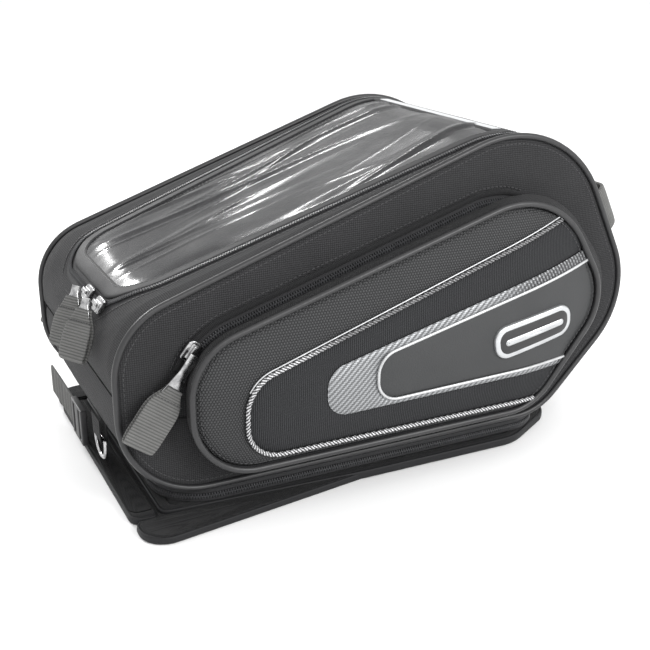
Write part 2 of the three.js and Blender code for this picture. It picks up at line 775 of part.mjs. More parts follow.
function riderFlap() {
  const cloth = toSolid(upZ(roundedOutline([
    [-flapHingeX - riderFlapWidth, -padHalfWidth, riderFlapCorner],
    [-flapHingeX, -padHalfWidth, flapInnerCorner],
    [-flapHingeX, padHalfWidth, flapInnerCorner],
    [-flapHingeX - riderFlapWidth, padHalfWidth, riderFlapCorner],
  ]), 0, flapThickness));
  const half = riderMagnetLength / 2;
  const outerX = -flapHingeX - magnetMargin - riderMagnetWidth;
  const slot = box(
    [outerX - gap, -half - gap, slotLow],
    [-flapHingeX + magnetMargin, half + gap, slotHigh],
  );
  add("rider_flap", cloth.subtract(toSolid(slot)), blackCloth());
  add("rider_magnet", box(
    [outerX, -half, magnetLow],
    [-flapHingeX - magnetMargin, half, magnetLow + magnetThickness],
  ), magnetSteel());
}

sides.forEach(([name, side]) => sideFlap(name, side));
riderFlap();

// The foot zip's slider, standing on the coil at the steering-head end.
function footSlider() {
  const face = footZipFrontReach + gap;
  const middle = lowerZipFoot + sliderWidth / 2;
  return orient(sliderBody(), [0, 1, 0], [0, 0, 1], [face, 0, middle]);
}
add("base_zip_slider", footSlider(), chrome());

// ---------------------------------------------------------------- carry handle
const wallDrop = new THREE.Vector3(bellyReach - crestReach, 0, bellyHeight - crestHeight)
  .normalize();
const wallOut = new THREE.Vector3(-wallDrop.z, 0, wallDrop.x);

function carryHandle() {
  const outer = handleStandOff;
  const inner = outer - handleThickness;
  const knee = handleHalfSpan;
  const foot = knee + handleFoot;
  const strap = new THREE.Shape([
    [-foot, 0], [-foot + handleKnee, 0], [-knee + handleKnee, inner],
    [knee - handleKnee, inner], [foot - handleKnee, 0],
    [foot, 0], [knee, outer], [-knee, outer],
  ].map(([x, y]) => new THREE.Vector2(x, y)));
  const geometry = new THREE.ExtrudeGeometry(strap, { depth: handleWidth, bevelEnabled: false });
  const seat = new THREE.Vector3(crestReach, 0, crestHeight)
    .addScaledVector(wallDrop, handleDrop)
    .addScaledVector(wallOut, gap - wallInset);
  return orient(geometry, [0, 1, 0], wallOut.toArray(), seat.toArray());
}
add("carry_handle", carryHandle(), greyWebbing());

// ---------------------------------------------------------------- hardware at the rider's foot
function rod(radius, yLow, yHigh, x, z) {
  return new THREE.CylinderGeometry(radius, radius, yHigh - yLow, 16)
    .translate(x, (yLow + yHigh) / 2, z);
}

function strapTab() {
  const half = strapTabWidth / 2;
  const web = toSolid(box(
    [ringAxisX - webbingThickness / 2, ringY - half, ringAxisZ],
    [ringAxisX + webbingThickness / 2, ringY + half, strapTabTop],
  ));
  const eye = toSolid(rod(tabEyeRadius, ringY - half, ringY + half, ringAxisX, ringAxisZ));
  const bore = toSolid(rod(ringWire + gap, ringY - far, ringY + far, ringAxisX, ringAxisZ));
  return web.add(eye).subtract(bore);
}

function dRing() {
  const bar = toSolid(rod(ringWire, ringY - ringHalfWidth, ringY + ringHalfWidth, ringAxisX, ringAxisZ));
  const bow = new THREE.CatmullRomCurve3([
    [-1, 0], [-0.95, -0.5], [-0.6, -1], [0, -1.2], [0.6, -1], [0.95, -0.5], [1, 0],
  ].map(([across, down]) => new THREE.Vector3(
    ringAxisX,
    ringY + across * ringHalfWidth,
    ringAxisZ + down * ringHalfWidth,
  )));
  const section = new THREE.Shape().absarc(0, 0, ringWire, 0, 2 * Math.PI);
  const wire = new THREE.ExtrudeGeometry(section, {
    steps: wireSteps,
    curveSegments: wireSides,
    bevelEnabled: false,
    extrudePath: bow,
  });
  return bar.add(toSolid(wire));
}

const strapMiddleZ = rearStrapLowZ + webbingWidth / 2;

function ladderBuckle() {
  const halfY = buckleWidth / 2;
  const halfZ = buckleHeight / 2;
  const low = ringAxisX - buckleThickness / 2;
  const frame = toSolid(box(
    [low, buckleY - halfY, strapMiddleZ - halfZ],
    [low + buckleThickness, buckleY + halfY, strapMiddleZ + halfZ],
  ));
  const slot = (y) => toSolid(box(
    [low - 1, y - buckleSlotWidth / 2, strapMiddleZ - webbingWidth / 2 - gap],
    [low + buckleThickness + 1, y + buckleSlotWidth / 2, strapMiddleZ + webbingWidth / 2 + gap],
  ));
  return frame
    .subtract(slot(buckleY - buckleSlotPitch / 2))
    .subtract(slot(buckleY + buckleSlotPitch / 2));
}

function rearStrap() {
  const near = buckleY + buckleWidth / 2 + gap;
  return box(
    [ringAxisX - webbingThickness / 2, near, rearStrapLowZ],
    [ringAxisX + webbingThickness / 2, rearStrapEndY, rearStrapLowZ + webbingWidth],
  );
}

add("strap_tab", strapTab(), blackCloth());
add("d_ring", dRing(), chrome());
add("ladder_buckle", ladderBuckle(), blackPlastic());
add("rear_strap", rearStrap(), greyWebbing());

export default root;
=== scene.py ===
"""Motorcycle tank bag, finished over its CAD frame.

Lengths here are millimetres, and make_piece turns them into metres. +X points to the steering
head, -X to the rider, +Z up, and the near side pocket is at -Y. Where a size below is also
in the frame it repeats the frame's value, so that new pieces lie on the solids they stand for.
"""

import math

import bmesh
import bpy
import numpy as np
from mathutils import Euler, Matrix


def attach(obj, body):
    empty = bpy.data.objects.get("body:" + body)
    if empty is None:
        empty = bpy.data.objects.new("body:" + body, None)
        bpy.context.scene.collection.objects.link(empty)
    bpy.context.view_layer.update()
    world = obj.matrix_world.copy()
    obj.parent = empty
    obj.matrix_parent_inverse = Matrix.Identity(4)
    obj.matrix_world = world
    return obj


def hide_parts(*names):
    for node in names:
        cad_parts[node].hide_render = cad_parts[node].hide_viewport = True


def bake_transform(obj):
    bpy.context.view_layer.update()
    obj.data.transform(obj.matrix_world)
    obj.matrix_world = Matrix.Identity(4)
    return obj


MM = 0.001
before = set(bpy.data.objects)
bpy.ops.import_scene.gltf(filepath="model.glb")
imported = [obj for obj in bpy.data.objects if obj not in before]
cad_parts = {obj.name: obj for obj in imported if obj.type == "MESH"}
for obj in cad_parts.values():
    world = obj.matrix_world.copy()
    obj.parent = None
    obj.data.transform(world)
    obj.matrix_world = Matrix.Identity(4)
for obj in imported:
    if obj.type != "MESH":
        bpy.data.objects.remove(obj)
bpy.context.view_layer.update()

# ---------------------------------------------------------------- sizes shared with the frame
SIDES = (("left", -1), ("right", 1))
BAG_HEART = np.array((0.0, 0.0, 130.0))

BODY_PROFILE = ((-207, 23, 62), (136, 23, 50), (221, 111, 66), (141, 270, 90), (-207, 148, 52))
SEAM_Y = 115  # the body's piping runs at this distance from the middle
WALL_HALF = 113.6  # cloth walls end here, against the piping
PANEL_FAR = 115.7  # outer face of the side cloth in the frame
PIPING_RADIUS = 2.3
CLOTH_SINK = -0.5  # cloth lies this far inside the seam line
SIDE_SEAM_X, SIDE_SEAM_Z = (-199, -152), 46  # short seam from the nose to the pocket
HINGE_X = 110  # the lid folds back here
NOSE_SEAM = (-207, 96)  # where the rider wall meets the cloth round the lid

LID_NOSE_HALF, LID_HINGE_HALF, LID_REACH, LID_CORNER = 78, 106, 196, 42  # plan of the lid's zip
LID_SPREAD = (LID_HINGE_HALF - LID_NOSE_HALF) / (HINGE_X + LID_REACH)
ZIP_HALF = 3
BINDING_WIDTH = 10
GAP = 0.3

POCKET_BACK = ((-160, 32, 50), (126, 30, 48), (210, 114, 60), (130, 218, 74), (-160, 126, 46))
POCKET_FACE = ((-163, 41, 46), (112, 41, 46), (176, 122, 44), (119, 217, 68), (-163, 131, 44))
POCKET_BACK_Y, FACE_BACK_Y = 116, 136
FACE_Y = 139.3
FACE_PIPING_Y = 138.6
FACE_INSET = 2.6
FACE_CROWN = 6.5  # how far the moulded face swells past its rim
CROWN_REACH = 62
BAND_OUTER = ((-127, 49.5, 27), (260, 49.5, 1), (260, 234, 1), (-127, 105.5, 27))
SILVER_OUTER = ((-68, 70, 17), (260, 76, 1), (260, 192, 1), (-68, 106, 17))
SILVER_INNER = ((-29, 75, 17), (260, 82, 1), (260, 181, 1), (-29, 110, 17))
FIELD_END_SPLIT = 100  # each field's seam has its upper end above this height
TRIM_LINE_FOOT = 100  # the silver line beside the trim cord ends at this height
BADGE_CENTRE = (102, 108)
BADGE_TILT = math.radians(10)
BADGE_LENGTH, BADGE_HEIGHT = 70, 26

PULL_WIDTH = 25
PULL_THICKNESS = 2.2
LID_SLIDERS = (("1", -20), ("2", -50))  # each slider's place across the bag
LID_PIVOT = (-206.17, 151.09)  # where the lid pulls swing, in side view
LID_PULL_TURN, LID_PULL_TIP = math.radians(30), math.radians(24)
LID_LOOP = (8, 36)  # webbing's start below the pivot, and its length
POCKET_PIVOT = (-156.13, 127.7, 126.76)  # the joint's axis point, 0.9 mm below the frame's pin
POCKET_LOOP = (25, 46)
HANDLE_DROP, HANDLE_WIDTH = 88, 36  # strap's upper edge below the crest corner, and its width
HANDLE_REACH, HANDLE_KNEE, HANDLE_RISE = 107, 9, 18  # half span, length of a bend, and stand-off
HANDLE_FOOT = 1.7  # the sewn ends' own height over the wall
HANDLE_THICKNESS = 3.2

RING_X, RING_Y, RING_Z = -203.4, -45.0, 44.0  # the D-ring's axis
RING_HALF, RING_DROP, RING_WIRE = 14, 16.5, 3.0  # half width, depth below the bar, wire
TAB_TOP, TAB_WIDTH, TAB_LOOP = 60, 22, 2.4  # upper end, width, and radius round the bar
STRAP_START, STRAP_END, STRAP_Z = 14, 119, 25.5  # across the rider's foot, and its height
STRAP_WIDTH = 25
THIN_WEB, STRAP_WEB = 1.3, 2.2  # thickness of the tab's cloth and of the strap
STRAP_BOW, STRAP_SINK = 0.6, 0.5

BASE_TOP = 8
FLAP_TOP = 6
QUILT_CHANNELS = ((9, 1.6), (20, 1.3))  # each channel's distance from the edge, and its depth
FOOT_PLAN = ((-178, -112, 40), (146, -112, 30), (146, 112, 30), (-178, 112, 40))
FOOT_COIL_Z = 12.95  # the foot zip's two tapes meet at this height
GUSSET_FOOT = 17.9


# ---------------------------------------------------------------- camera, light and floor
def set_camera():
    """Camera on the near side, a little to the rider's end, looking down on the sloping lid."""
    data = bpy.data.cameras.new("camera")
    data.sensor_width = 36
    data.lens = 57.34
    data.clip_end = 100
    camera = bpy.data.objects.new("camera", data)
    camera.location = (-0.3543, -0.7271, 0.3797)
    camera.rotation_euler = Euler((math.radians(69.74), 0, math.radians(-26)))
    bpy.context.scene.collection.objects.link(camera)
    bpy.context.scene.camera = camera


def area_light(name, place, target, size, power):
    """A soft square lamp that faces a point."""
    data = bpy.data.lights.new(name, "AREA")
    data.shape = "RECTANGLE"
    data.size, data.size_y = size
    data.energy = power
    lamp = bpy.data.objects.new(name, data)
    lamp.location = place
    facing = np.array(target) - np.array(place)
    pitch = math.atan2(math.hypot(facing[0], facing[1]), -facing[2])
    lamp.rotation_euler = Euler((pitch, 0, math.atan2(facing[1], facing[0]) - math.pi / 2))
    bpy.context.scene.collection.objects.link(lamp)


def set_studio():
    """White floor and even daylight. A key lamp stands over the rider's end and one in front of
    the near side; narrow strips behind draw the highlights on the film and the piping."""
    world = bpy.data.worlds.new("studio")
    world.use_nodes = True
    world.node_tree.nodes["Background"].inputs["Color"].default_value = (1, 1, 1, 1)
    world.node_tree.nodes["Background"].inputs["Strength"].default_value = 1.12
    bpy.context.scene.world = world
    bpy.context.scene.view_settings.view_transform = "Standard"
    area_light("key", (-0.5, -1.3, 1.3), (-0.05, 0, 0.12), (0.7, 0.7), 7)
    area_light("front", (0.7, -1.5, 0.9), (0.03, 0, 0.15), (0.9, 0.5), 22)
    area_light("nose_strip", (-0.55, 1.5, 0.95), (-0.15, 0, 0.17), (0.5, 0.2), 18)
    area_light("film_strip", (0.3, 1.5, 1.3), (-0.02, 0, 0.20), (0.5, 0.10), 5)
    corners = np.array([(-2e4, -2e4, 0), (2e4, -2e4, 0), (2e4, 2e4, 0), (-2e4, 2e4, 0)], float)
    floor = make_piece("floor", corners - (0, 0, 0.2), [[0, 1, 2, 3]], corners[:, :2], closed=False)
    floor.data.materials.append(floor_finish())


# ---------------------------------------------------------------- lines
def outward(start, end):
    """Unit normal on the right of the way from start to end."""
    along = (end - start) / np.linalg.norm(end - start)
    return np.array((along[1], -along[0]))


def rounded_outline(corners, offset=0.0, steps=16):
    """Points round a convex anticlockwise polygon with arcs at its corners, grown outwards.
    Each arc's centre lies on its corner's miter, one radius inside both edges."""
    arcs = []
    count = len(corners)
    for i, (x, z, radius) in enumerate(corners):
        here = np.array((x, z), float)
        arriving = outward(np.array(corners[i - 1][:2], float), here)
        leaving = outward(here, np.array(corners[(i + 1) % count][:2], float))
        grown = max(radius + offset, 0.5)
        miter = (arriving + leaving) / (1 + arriving @ leaving)
        centre = here + miter * (offset - grown)
        start = math.atan2(arriving[1], arriving[0])
        turn = (math.atan2(leaving[1], leaving[0]) - start) % (2 * math.pi)
        angles = start + turn * np.linspace(0, 1, steps + 1)
        arcs.append(centre + grown * np.stack([np.cos(angles), np.sin(angles)], axis=1))
    return np.concatenate(arcs)


def lengths_along(line):
    """Distance from the line's start to each of its points."""
    steps = np.linalg.norm(np.diff(line, axis=0), axis=1)
    return np.concatenate([[0.0], np.cumsum(steps)])


def evenly(line, spacing, closed=False, count=None):
    """The same line with its points evenly apart."""
    whole = np.vstack([line, line[:1]]) if closed else np.asarray(line, float)
    lengths = lengths_along(whole)
    number = count or max(int(round(lengths[-1] / spacing)) + 1, 4)
    marks = np.linspace(0, lengths[-1], number, endpoint=not closed)
    return np.stack([np.interp(marks, lengths, whole[:, k]) for k in range(whole.shape[1])], axis=1)


def unit(vectors):
    """Each vector at length one."""
    size = np.linalg.norm(vectors, axis=-1, keepdims=True)
    return vectors / np.maximum(size, 1e-9)


def tangents(line, closed=False):
    """Direction of the line at each point, from the points on both sides of it."""
    if closed:
        return unit(np.roll(line, -1, axis=0) - np.roll(line, 1, axis=0))
    return unit(np.gradient(line, axis=0))


def plane_normals(line, closed=False):
    """Outward normals of an anticlockwise line in a plane."""
    along = tangents(line, closed)
    return np.stack([along[:, 1], -along[:, 0]], axis=1)


def inside_depth(points, outline):
    """Distance of points inside a convex anticlockwise outline from its nearest edge."""
    ends = np.roll(outline, -1, axis=0)
    along = unit(ends - outline)
    keep = np.linalg.norm(ends - outline, axis=1) > 1e-6
    normal = np.stack([-along[:, 1], along[:, 0]], axis=1)[keep]
    start = outline[keep]
    flat = points.reshape(-1, 2)
    depth = (flat[:, None] - start[None]) * normal[None]
    return depth.sum(axis=2).min(axis=1).reshape(points.shape[:-1])


def ripple(u, v, seed, size, waves=7):
    """Soft unevenness of cloth: a sum of sine waves of seeded direction, about size apart."""
    random = np.random.default_rng(seed)
    total = np.zeros(np.broadcast(u, v).shape)
    for _ in range(waves):
        angle, phase = random.uniform(0, 2 * math.pi, 2)
        pace = 2 * math.pi / (size * random.uniform(0.6, 1.8))
        total += np.sin((u * math.cos(angle) + v * math.sin(angle)) * pace + phase)
    return total / waves


# ---------------------------------------------------------------- making pieces
def make_piece(name, points, faces, corners, closed=True):
    """A mesh object from points, faces and the cloth coordinates of each face corner."""
    mesh = bpy.data.meshes.new(name)
    mesh.from_pydata((np.asarray(points, float) * MM).tolist(), [], faces)
    layer = mesh.uv_layers.new(name="cloth")
    layer.data.foreach_set("uv", (np.asarray(corners, float) * MM).ravel())
    if closed:
        work = bmesh.new()
        work.from_mesh(mesh)
        bmesh.ops.recalc_face_normals(work, faces=work.faces)
        work.to_mesh(mesh)
        work.free()
    mesh.shade_smooth()
    mesh.set_sharp_from_angle(angle=math.radians(42))
    piece = bpy.data.objects.new(name, mesh)
    bpy.context.scene.collection.objects.link(piece)
    return piece


def grid_corners(rows, columns, wrap_rows, wrap_columns):
    """Row and column numbers of each cell's four corners; they run on past a joined end."""
    row = np.arange(rows if wrap_rows else rows - 1)
    column = np.arange(columns if wrap_columns else columns - 1)
    row, column = np.meshgrid(row, column, indexing="ij")
    corner_row = np.stack([row, row + 1, row + 1, row], axis=-1).reshape(-1, 4)
    corner_column = np.stack([column, column, column + 1, column + 1], axis=-1).reshape(-1, 4)
    return corner_row, corner_column


def measured_cloth(grid, wrap_rows):
    """Cloth coordinates of a grid: mean length along its rows and round its columns."""
    rows = np.concatenate([grid, grid[:1]]) if wrap_rows else grid
    ring = np.concatenate([rows, rows[:, :1]], axis=1)
    down = np.linalg.norm(np.diff(ring, axis=0), axis=2).mean(axis=1)
    across = np.linalg.norm(np.diff(ring, axis=1), axis=2).mean(axis=0)
    u = np.concatenate([[0.0], np.cumsum(down)])
    v = np.concatenate([[0.0], np.cumsum(across)])
    return np.stack(np.meshgrid(u, v, indexing="ij"), axis=-1)


def skin(name, grid, cloth=None, wrap_rows=False, flat_ends=False):
    """A closed skin over a grid (rows, columns, 3) whose columns close on themselves.
    The rows join end to end, or each end is closed by a fan, or by a strip between its halves."""
    rows, columns = grid.shape[:2]
    if cloth is None:
        cloth = measured_cloth(grid, wrap_rows)
    else:
        cloth = np.concatenate([cloth, cloth[:, :1]], axis=1)
        cloth = np.concatenate([cloth, cloth[:1]]) if wrap_rows else cloth
    corner_row, corner_column = grid_corners(rows, columns, wrap_rows, True)
    faces = ((corner_row % rows) * columns + corner_column % columns).tolist()
    corners = [cloth[corner_row, corner_column].reshape(-1, 2)]
    points = [grid.reshape(-1, 3)]
    if not wrap_rows:
        half = columns // 2
        for end, row in enumerate((0, rows - 1)):
            if flat_ends:
                near = np.arange(half - 1)
                strip = np.stack([near, near + 1, columns - 2 - near, columns - 1 - near], axis=1)
            else:
                near = np.arange(columns)
                strip = np.stack([near, (near + 1) % columns], axis=1)
                points.append(grid[row].mean(axis=0)[None])
            values = cloth[row][strip]
            indices = strip + row * columns
            if not flat_ends:
                hub = np.full((columns, 1), rows * columns + end)
                indices = np.hstack([indices, hub])
                values = np.concatenate([values, cloth[row][:1][None].repeat(columns, 0)], axis=1)
            faces.extend(indices.tolist())
            corners.append(values.reshape(-1, 2))
    return make_piece(name, np.concatenate(points), faces, np.concatenate(corners))


def grid_normals(grid, wrap_rows=False):
    """Normals of a grid surface, from the cross product of its two directions."""
    if wrap_rows:
        down = np.roll(grid, -1, axis=0) - np.roll(grid, 1, axis=0)
    else:
        down = np.gradient(grid, axis=0)
    return unit(np.cross(down, np.gradient(grid, axis=1)))


def cloth_sheet(name, front, thickness, heart=BAG_HEART, cloth=None, wrap_rows=False):
    """Cloth of a given thickness: the front grid, and the same grid moved in along its normals."""
    normal = grid_normals(front, wrap_rows)
    if np.sum(normal * (front - heart)) < 0:
        normal = -normal
    back = front - normal * thickness
    grid = np.concatenate([front, back[:, ::-1]], axis=1)
    if cloth is None:
        cloth = measured_cloth(front, wrap_rows)[:front.shape[0], :front.shape[1]]
    both = np.concatenate([cloth, cloth[:, ::-1]], axis=1)
    return skin(name, grid, both, wrap_rows, flat_ends=True)


def swept(name, path, across, up, section, wrap=False, cloth=None):
    """A section carried along a path: each of its points lies so far along across and up."""
    section = np.broadcast_to(section, (len(path),) + section.shape[-2:])
    grid = path[:, None] + section[..., :1] * across[:, None] + section[..., 1:] * up[:, None]
    return skin(name, grid, cloth, wrap_rows=wrap)


def oval(width, height, power=2.0, count=20):
    """A superellipse: a circle or oval at power 2, and nearer to a box as the power grows."""
    angle = np.linspace(0, 2 * math.pi, count, endpoint=False)
    cosine, sine = np.cos(angle), np.sin(angle)
    x = np.sign(cosine) * np.abs(cosine) ** (2 / power) * width / 2
    y = np.sign(sine) * np.abs(sine) ** (2 / power) * height / 2
    return np.stack([x, y], axis=1)


def placed(name, template, faces, origins, first, second, third):
    """Many copies of a small shape, each turned to three directions and moved to its origin."""
    points = (
        origins[:, None]
        + template[None, :, :1] * first[:, None]
        + template[None, :, 1:2] * second[:, None]
        + template[None, :, 2:] * third[:, None]
    )
    count = len(template)
    all_faces = []
    for face in faces:
        base = np.arange(len(origins))[:, None] * count
        all_faces.extend((base + np.array(face)[None]).tolist())
    corners = np.concatenate([points.reshape(-1, 3)[np.array(f)][:, :2] for f in all_faces])
    return make_piece(name, points.reshape(-1, 3), all_faces, corners)


def bead(length, width, height, sides=8, rings=4):
    """A small rounded bar along the first axis: ovals that shrink towards its two ends."""
    angle = np.linspace(-math.pi / 2, math.pi / 2, rings + 2)[1:-1]
    ring = oval(width, height, 2.6, sides)
    points = []
    for turn in angle:
        flat = np.sign(math.sin(turn)) * abs(math.sin(turn)) ** 0.6 * length / 2
        shrink = math.cos(turn) ** 0.45
        points.append(np.column_stack([np.full(sides, flat), ring * shrink]))
    faces = []
    for row in range(rings - 1):
        for i in range(sides):
            j = (i + 1) % sides
            faces.append((row * sides + i, row * sides + j, (row + 1) * sides + j,
                          (row + 1) * sides + i))
    faces.append(tuple(range(sides))[::-1])
    faces.append(tuple(range((rings - 1) * sides, rings * sides)))
    return np.concatenate(points), faces


def stitches(name, line, side, up, finish, slot, body, pitch=3.6, wrap=False):
    """A row of thread stitches along a line, each a bead sunk half into the cloth."""
    even = evenly(np.hstack([line, side, up]), pitch, closed=wrap)
    place, side, up = even[:, :3], unit(even[:, 3:6]), unit(even[:, 6:])
    along = tangents(place, wrap)
    template, faces = bead(pitch * 0.72, 0.75, 0.7, sides=6, rings=4)
    row = placed(name, template, faces, place, along, side, up)
    return dress(row, finish, slot, body)


def zip_teeth(name, line, side, up, finish, slot, body, wrap=False, reach=2.7):
    """One row of a nylon coil: rounded bars across the zip, one at each turn of the coil.
    Neighbouring rows interlock, because side also says which half turn a row starts on."""
    pitch = 2.0
    even = evenly(np.hstack([line, side, up]), pitch / 2, closed=wrap)[::2]
    place, side, up = even[:, :3], unit(even[:, 3:6]), unit(even[:, 6:])
    along = tangents(place, wrap)
    phase = 0.0 if side[0].sum() > 0 else pitch / 2
    centre = place + side * (reach / 2 - 0.55) + along * phase
    template, faces = bead(reach, 1.15, 1.5, sides=8, rings=4)
    row = placed(name, template, faces, centre, side, along, up)
    return dress(row, finish, slot, body)


def dress(piece, finish, slot, body, *nodes):
    """Gives a piece its finish and the body that it rides on, and hides the frame nodes that it stands
    for.
    """
    piece.data.materials.clear()
    piece.data.materials.append(finish)
    if body is not None:
        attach(piece, body)
    if nodes:
        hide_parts(*nodes)
    return piece


def softened(node, width, finish, slot, body, segments=3):
    """A copy of a hard frame node with its edges rounded over by a bevel."""
    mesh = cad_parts[node].data.copy()
    work = bmesh.new()
    work.from_mesh(mesh)
    bmesh.ops.remove_doubles(work, verts=work.verts, dist=1e-6)
    bmesh.ops.dissolve_limit(work, angle_limit=math.radians(1), verts=work.verts, edges=work.edges)
    work.to_mesh(mesh)
    work.free()
    mesh.shade_smooth()
    piece = bpy.data.objects.new(node + "_finished", mesh)
    bpy.context.scene.collection.objects.link(piece)
    bevel = piece.modifiers.new("edges", "BEVEL")
    bevel.width = width * MM
    bevel.segments = segments
    bevel.limit_method = "ANGLE"
    bevel.angle_limit = math.radians(35)
    bevel.harden_normals = True
    return dress(piece, finish, slot, body, node)


# ---------------------------------------------------------------- shader values
class Field:
    """One value over a surface: a node's socket that adds and multiplies like a number."""

    def __init__(self, tree, socket):
        self.tree = tree
        self.socket = socket

    def math(self, operation, *others, clamp=False):
        node = self.tree.nodes.new("ShaderNodeMath")
        node.operation = operation
        node.use_clamp = clamp
        for slot, value in zip(node.inputs, (self,) + others):
            feed(self.tree, slot, value)
        return Field(self.tree, node.outputs[0])

    def __add__(self, other):
        return self.math("ADD", other)

    def __radd__(self, other):
        return self.math("ADD", other)

    def __sub__(self, other):
        return self.math("SUBTRACT", other)

    def __rsub__(self, other):
        return (self * -1).math("ADD", other)

    def __mul__(self, other):
        return self.math("MULTIPLY", other)

    def __rmul__(self, other):
        return self.math("MULTIPLY", other)

    def __truediv__(self, other):
        return self.math("DIVIDE", other)

    def floor(self):
        return self.math("FLOOR")

    def fraction(self):
        return self.math("FRACT")

    def sine(self):
        return self.math("SINE")

    def size(self):
        return self.math("ABSOLUTE")

    def power(self, exponent):
        return self.math("POWER", exponent)

    def lesser(self, other):
        return self.math("MINIMUM", other)

    def below(self, limit):
        return self.math("LESS_THAN", limit)

    def clipped(self):
        return self.math("ADD", 0.0, clamp=True)


def feed(tree, socket, value):
    """Links a Field to a socket, or sets a plain value on it."""
    if isinstance(value, Field):
        tree.links.new(value.socket, socket)
    else:
        socket.default_value = value


class Finish:
    """A material being built round one Principled shader."""

    def __init__(self, name):
        self.material = bpy.data.materials.new(name)
        self.material.use_nodes = True
        self.tree = self.material.node_tree
        self.shader = self.tree.nodes["Principled BSDF"]

    def node(self, kind, settings, values, output=0):
        made = self.tree.nodes.new("ShaderNode" + kind)
        for key, value in settings.items():
            setattr(made, key, value)
        for key, value in values.items():
            feed(self.tree, made.inputs[key], value)
        return Field(self.tree, made.outputs[output])

    def place(self):
        """Object coordinates, in metres."""
        return self.node("TexCoord", {}, {}, "Object")

    def parts(self, vector):
        """The three numbers of a vector."""
        first = self.node("SeparateXYZ", {}, {"Vector": vector})
        outputs = first.socket.node.outputs
        return [Field(self.tree, socket) for socket in outputs]

    def cloth(self, pitch):
        """The two cloth coordinates, counted in threads of a given pitch in millimetres."""
        u, v, _ = self.parts(self.node("UVMap", {"uv_map": "cloth"}, {}))
        return u * (1 / (pitch * MM)), v * (1 / (pitch * MM))

    def noise(self, size, detail=3.0, rough=0.55):
        """Cloudy variation from 0 to 1 whose patches are about size millimetres across."""
        return self.node("TexNoise", {}, {
            "Vector": self.place(),
            "Scale": 1 / (size * MM),
            "Detail": detail,
            "Roughness": rough,
        })

    def blend(self, amount, first, second):
        """A colour between two colours."""
        return self.node("Mix", {"data_type": "RGBA"}, {0: amount, 6: first, 7: second}, 2)

    def bump(self, height, distance, strength=1.0):
        """A normal from a height field, whose full height is so many millimetres."""
        return self.node("Bump", {}, {
            "Height": height,
            "Distance": distance * MM,
            "Strength": strength,
        })

    def done(self, colour, roughness, normal=None, **constants):
        """Feeds the shader, and returns the material."""
        feed(self.tree, self.shader.inputs["Base Color"], colour)
        feed(self.tree, self.shader.inputs["Roughness"], roughness)
        if normal is not None:
            feed(self.tree, self.shader.inputs["Normal"], normal)
        for key, value in constants.items():
            feed(self.tree, self.shader.inputs[key.replace("_", " ")], value)
        return self.material


def plain_weave(u, v):
    """Height of a plain weave: warp and weft arches that change places from cell to cell."""
    odd = ((u.floor() + v.floor()) * 0.5).fraction() * 2
    warp = (u * math.pi).sine().size()
    weft = (v * math.pi).sine().size()
    over = warp * (0.55 + 0.45 * weft)
    under = weft * (0.55 + 0.45 * warp)
    return odd * over + (1 - odd) * under


# ---------------------------------------------------------------- finishes
def floor_finish():
    """Matt white studio floor with a faint mottle."""
    finish = Finish("studio_floor")
    mottle = finish.noise(300)
    colour = finish.blend(mottle, (0.88, 0.88, 0.88, 1), (0.92, 0.92, 0.92, 1))
    return finish.done(colour, 0.8)


def woven_cloth(name, pitch=1.5, dark=0.007, pale=0.042, rough=0.78):
    """Coarse black polyester: a plain weave whose thread crowns catch light, a little dusty."""
    finish = Finish(name)
    u, v = finish.cloth(pitch)
    weave = plain_weave(u, v)
    wear = finish.noise(38, 4)
    fleck = finish.noise(1.1, 1)
    tone = (weave * 0.75 + wear * 0.3 + fleck * 0.35 - 0.2).clipped()
    colour = finish.blend(tone, (dark, dark, dark * 1.06, 1), (pale, pale, pale * 1.04, 1))
    height = weave * 0.8 + fleck * 0.25
    roughness = rough + wear * 0.14 - weave * 0.1
    return finish.done(
        colour, roughness, finish.bump(height, 0.35, 0.9),
        Sheen_Weight=0.05, Sheen_Roughness=0.4, Specular_IOR_Level=0.12,
    )


def binding_tape():
    """Smooth black binding: fine cross ribs under a slight polish."""
    finish = Finish("binding_tape")
    u, _ = finish.cloth(0.9)
    ribs = (u * math.pi).sine().size()
    wear = finish.noise(30, 4)
    colour = finish.blend(wear, (0.005, 0.005, 0.006, 1), (0.013, 0.013, 0.014, 1))
    height = ribs * 0.6 + finish.noise(2.5) * 0.5
    return finish.done(colour, 0.5 + wear * 0.2, finish.bump(height, 0.18, 0.6),
                       Specular_IOR_Level=0.3)


def satin_piping():
    """Grey satin vinyl rolled round a cord, with fine grain and faint cross creases."""
    finish = Finish("satin_piping")
    u, _ = finish.cloth(5.0)
    crease = (u * 2.1 + finish.noise(14) * 5).sine().size().power(6)
    grain = finish.noise(0.9, 2)
    shade = finish.noise(45)
    colour = finish.blend(shade, (0.013, 0.013, 0.014, 1), (0.028, 0.028, 0.029, 1))
    height = grain * 0.5 + crease * 0.35
    return finish.done(
        colour, 0.34 + grain * 0.14, finish.bump(height, 0.2, 0.5), Specular_IOR_Level=0.45,
    )


def clear_film():
    """Soft clear film, hazy with use, thicker looking where it has been rubbed."""
    finish = Finish("clear_film")
    haze = finish.noise(60, 5, 0.6)
    scuff = finish.noise(9, 4, 0.65)
    milk = (haze * 1.6 - 0.5).clipped()
    colour = finish.blend(milk, (0.008, 0.008, 0.011, 1), (0.07, 0.07, 0.07, 1))
    finish.material.blend_method = "HASHED"
    return finish.done(
        colour, 0.13 + scuff * 0.1, finish.bump(haze * 0.9 + scuff * 0.1, 0.25, 0.3),
        IOR=1.4, Alpha=0.45 + milk * 0.4, Coat_Weight=0.15, Coat_Roughness=0.03,
    )


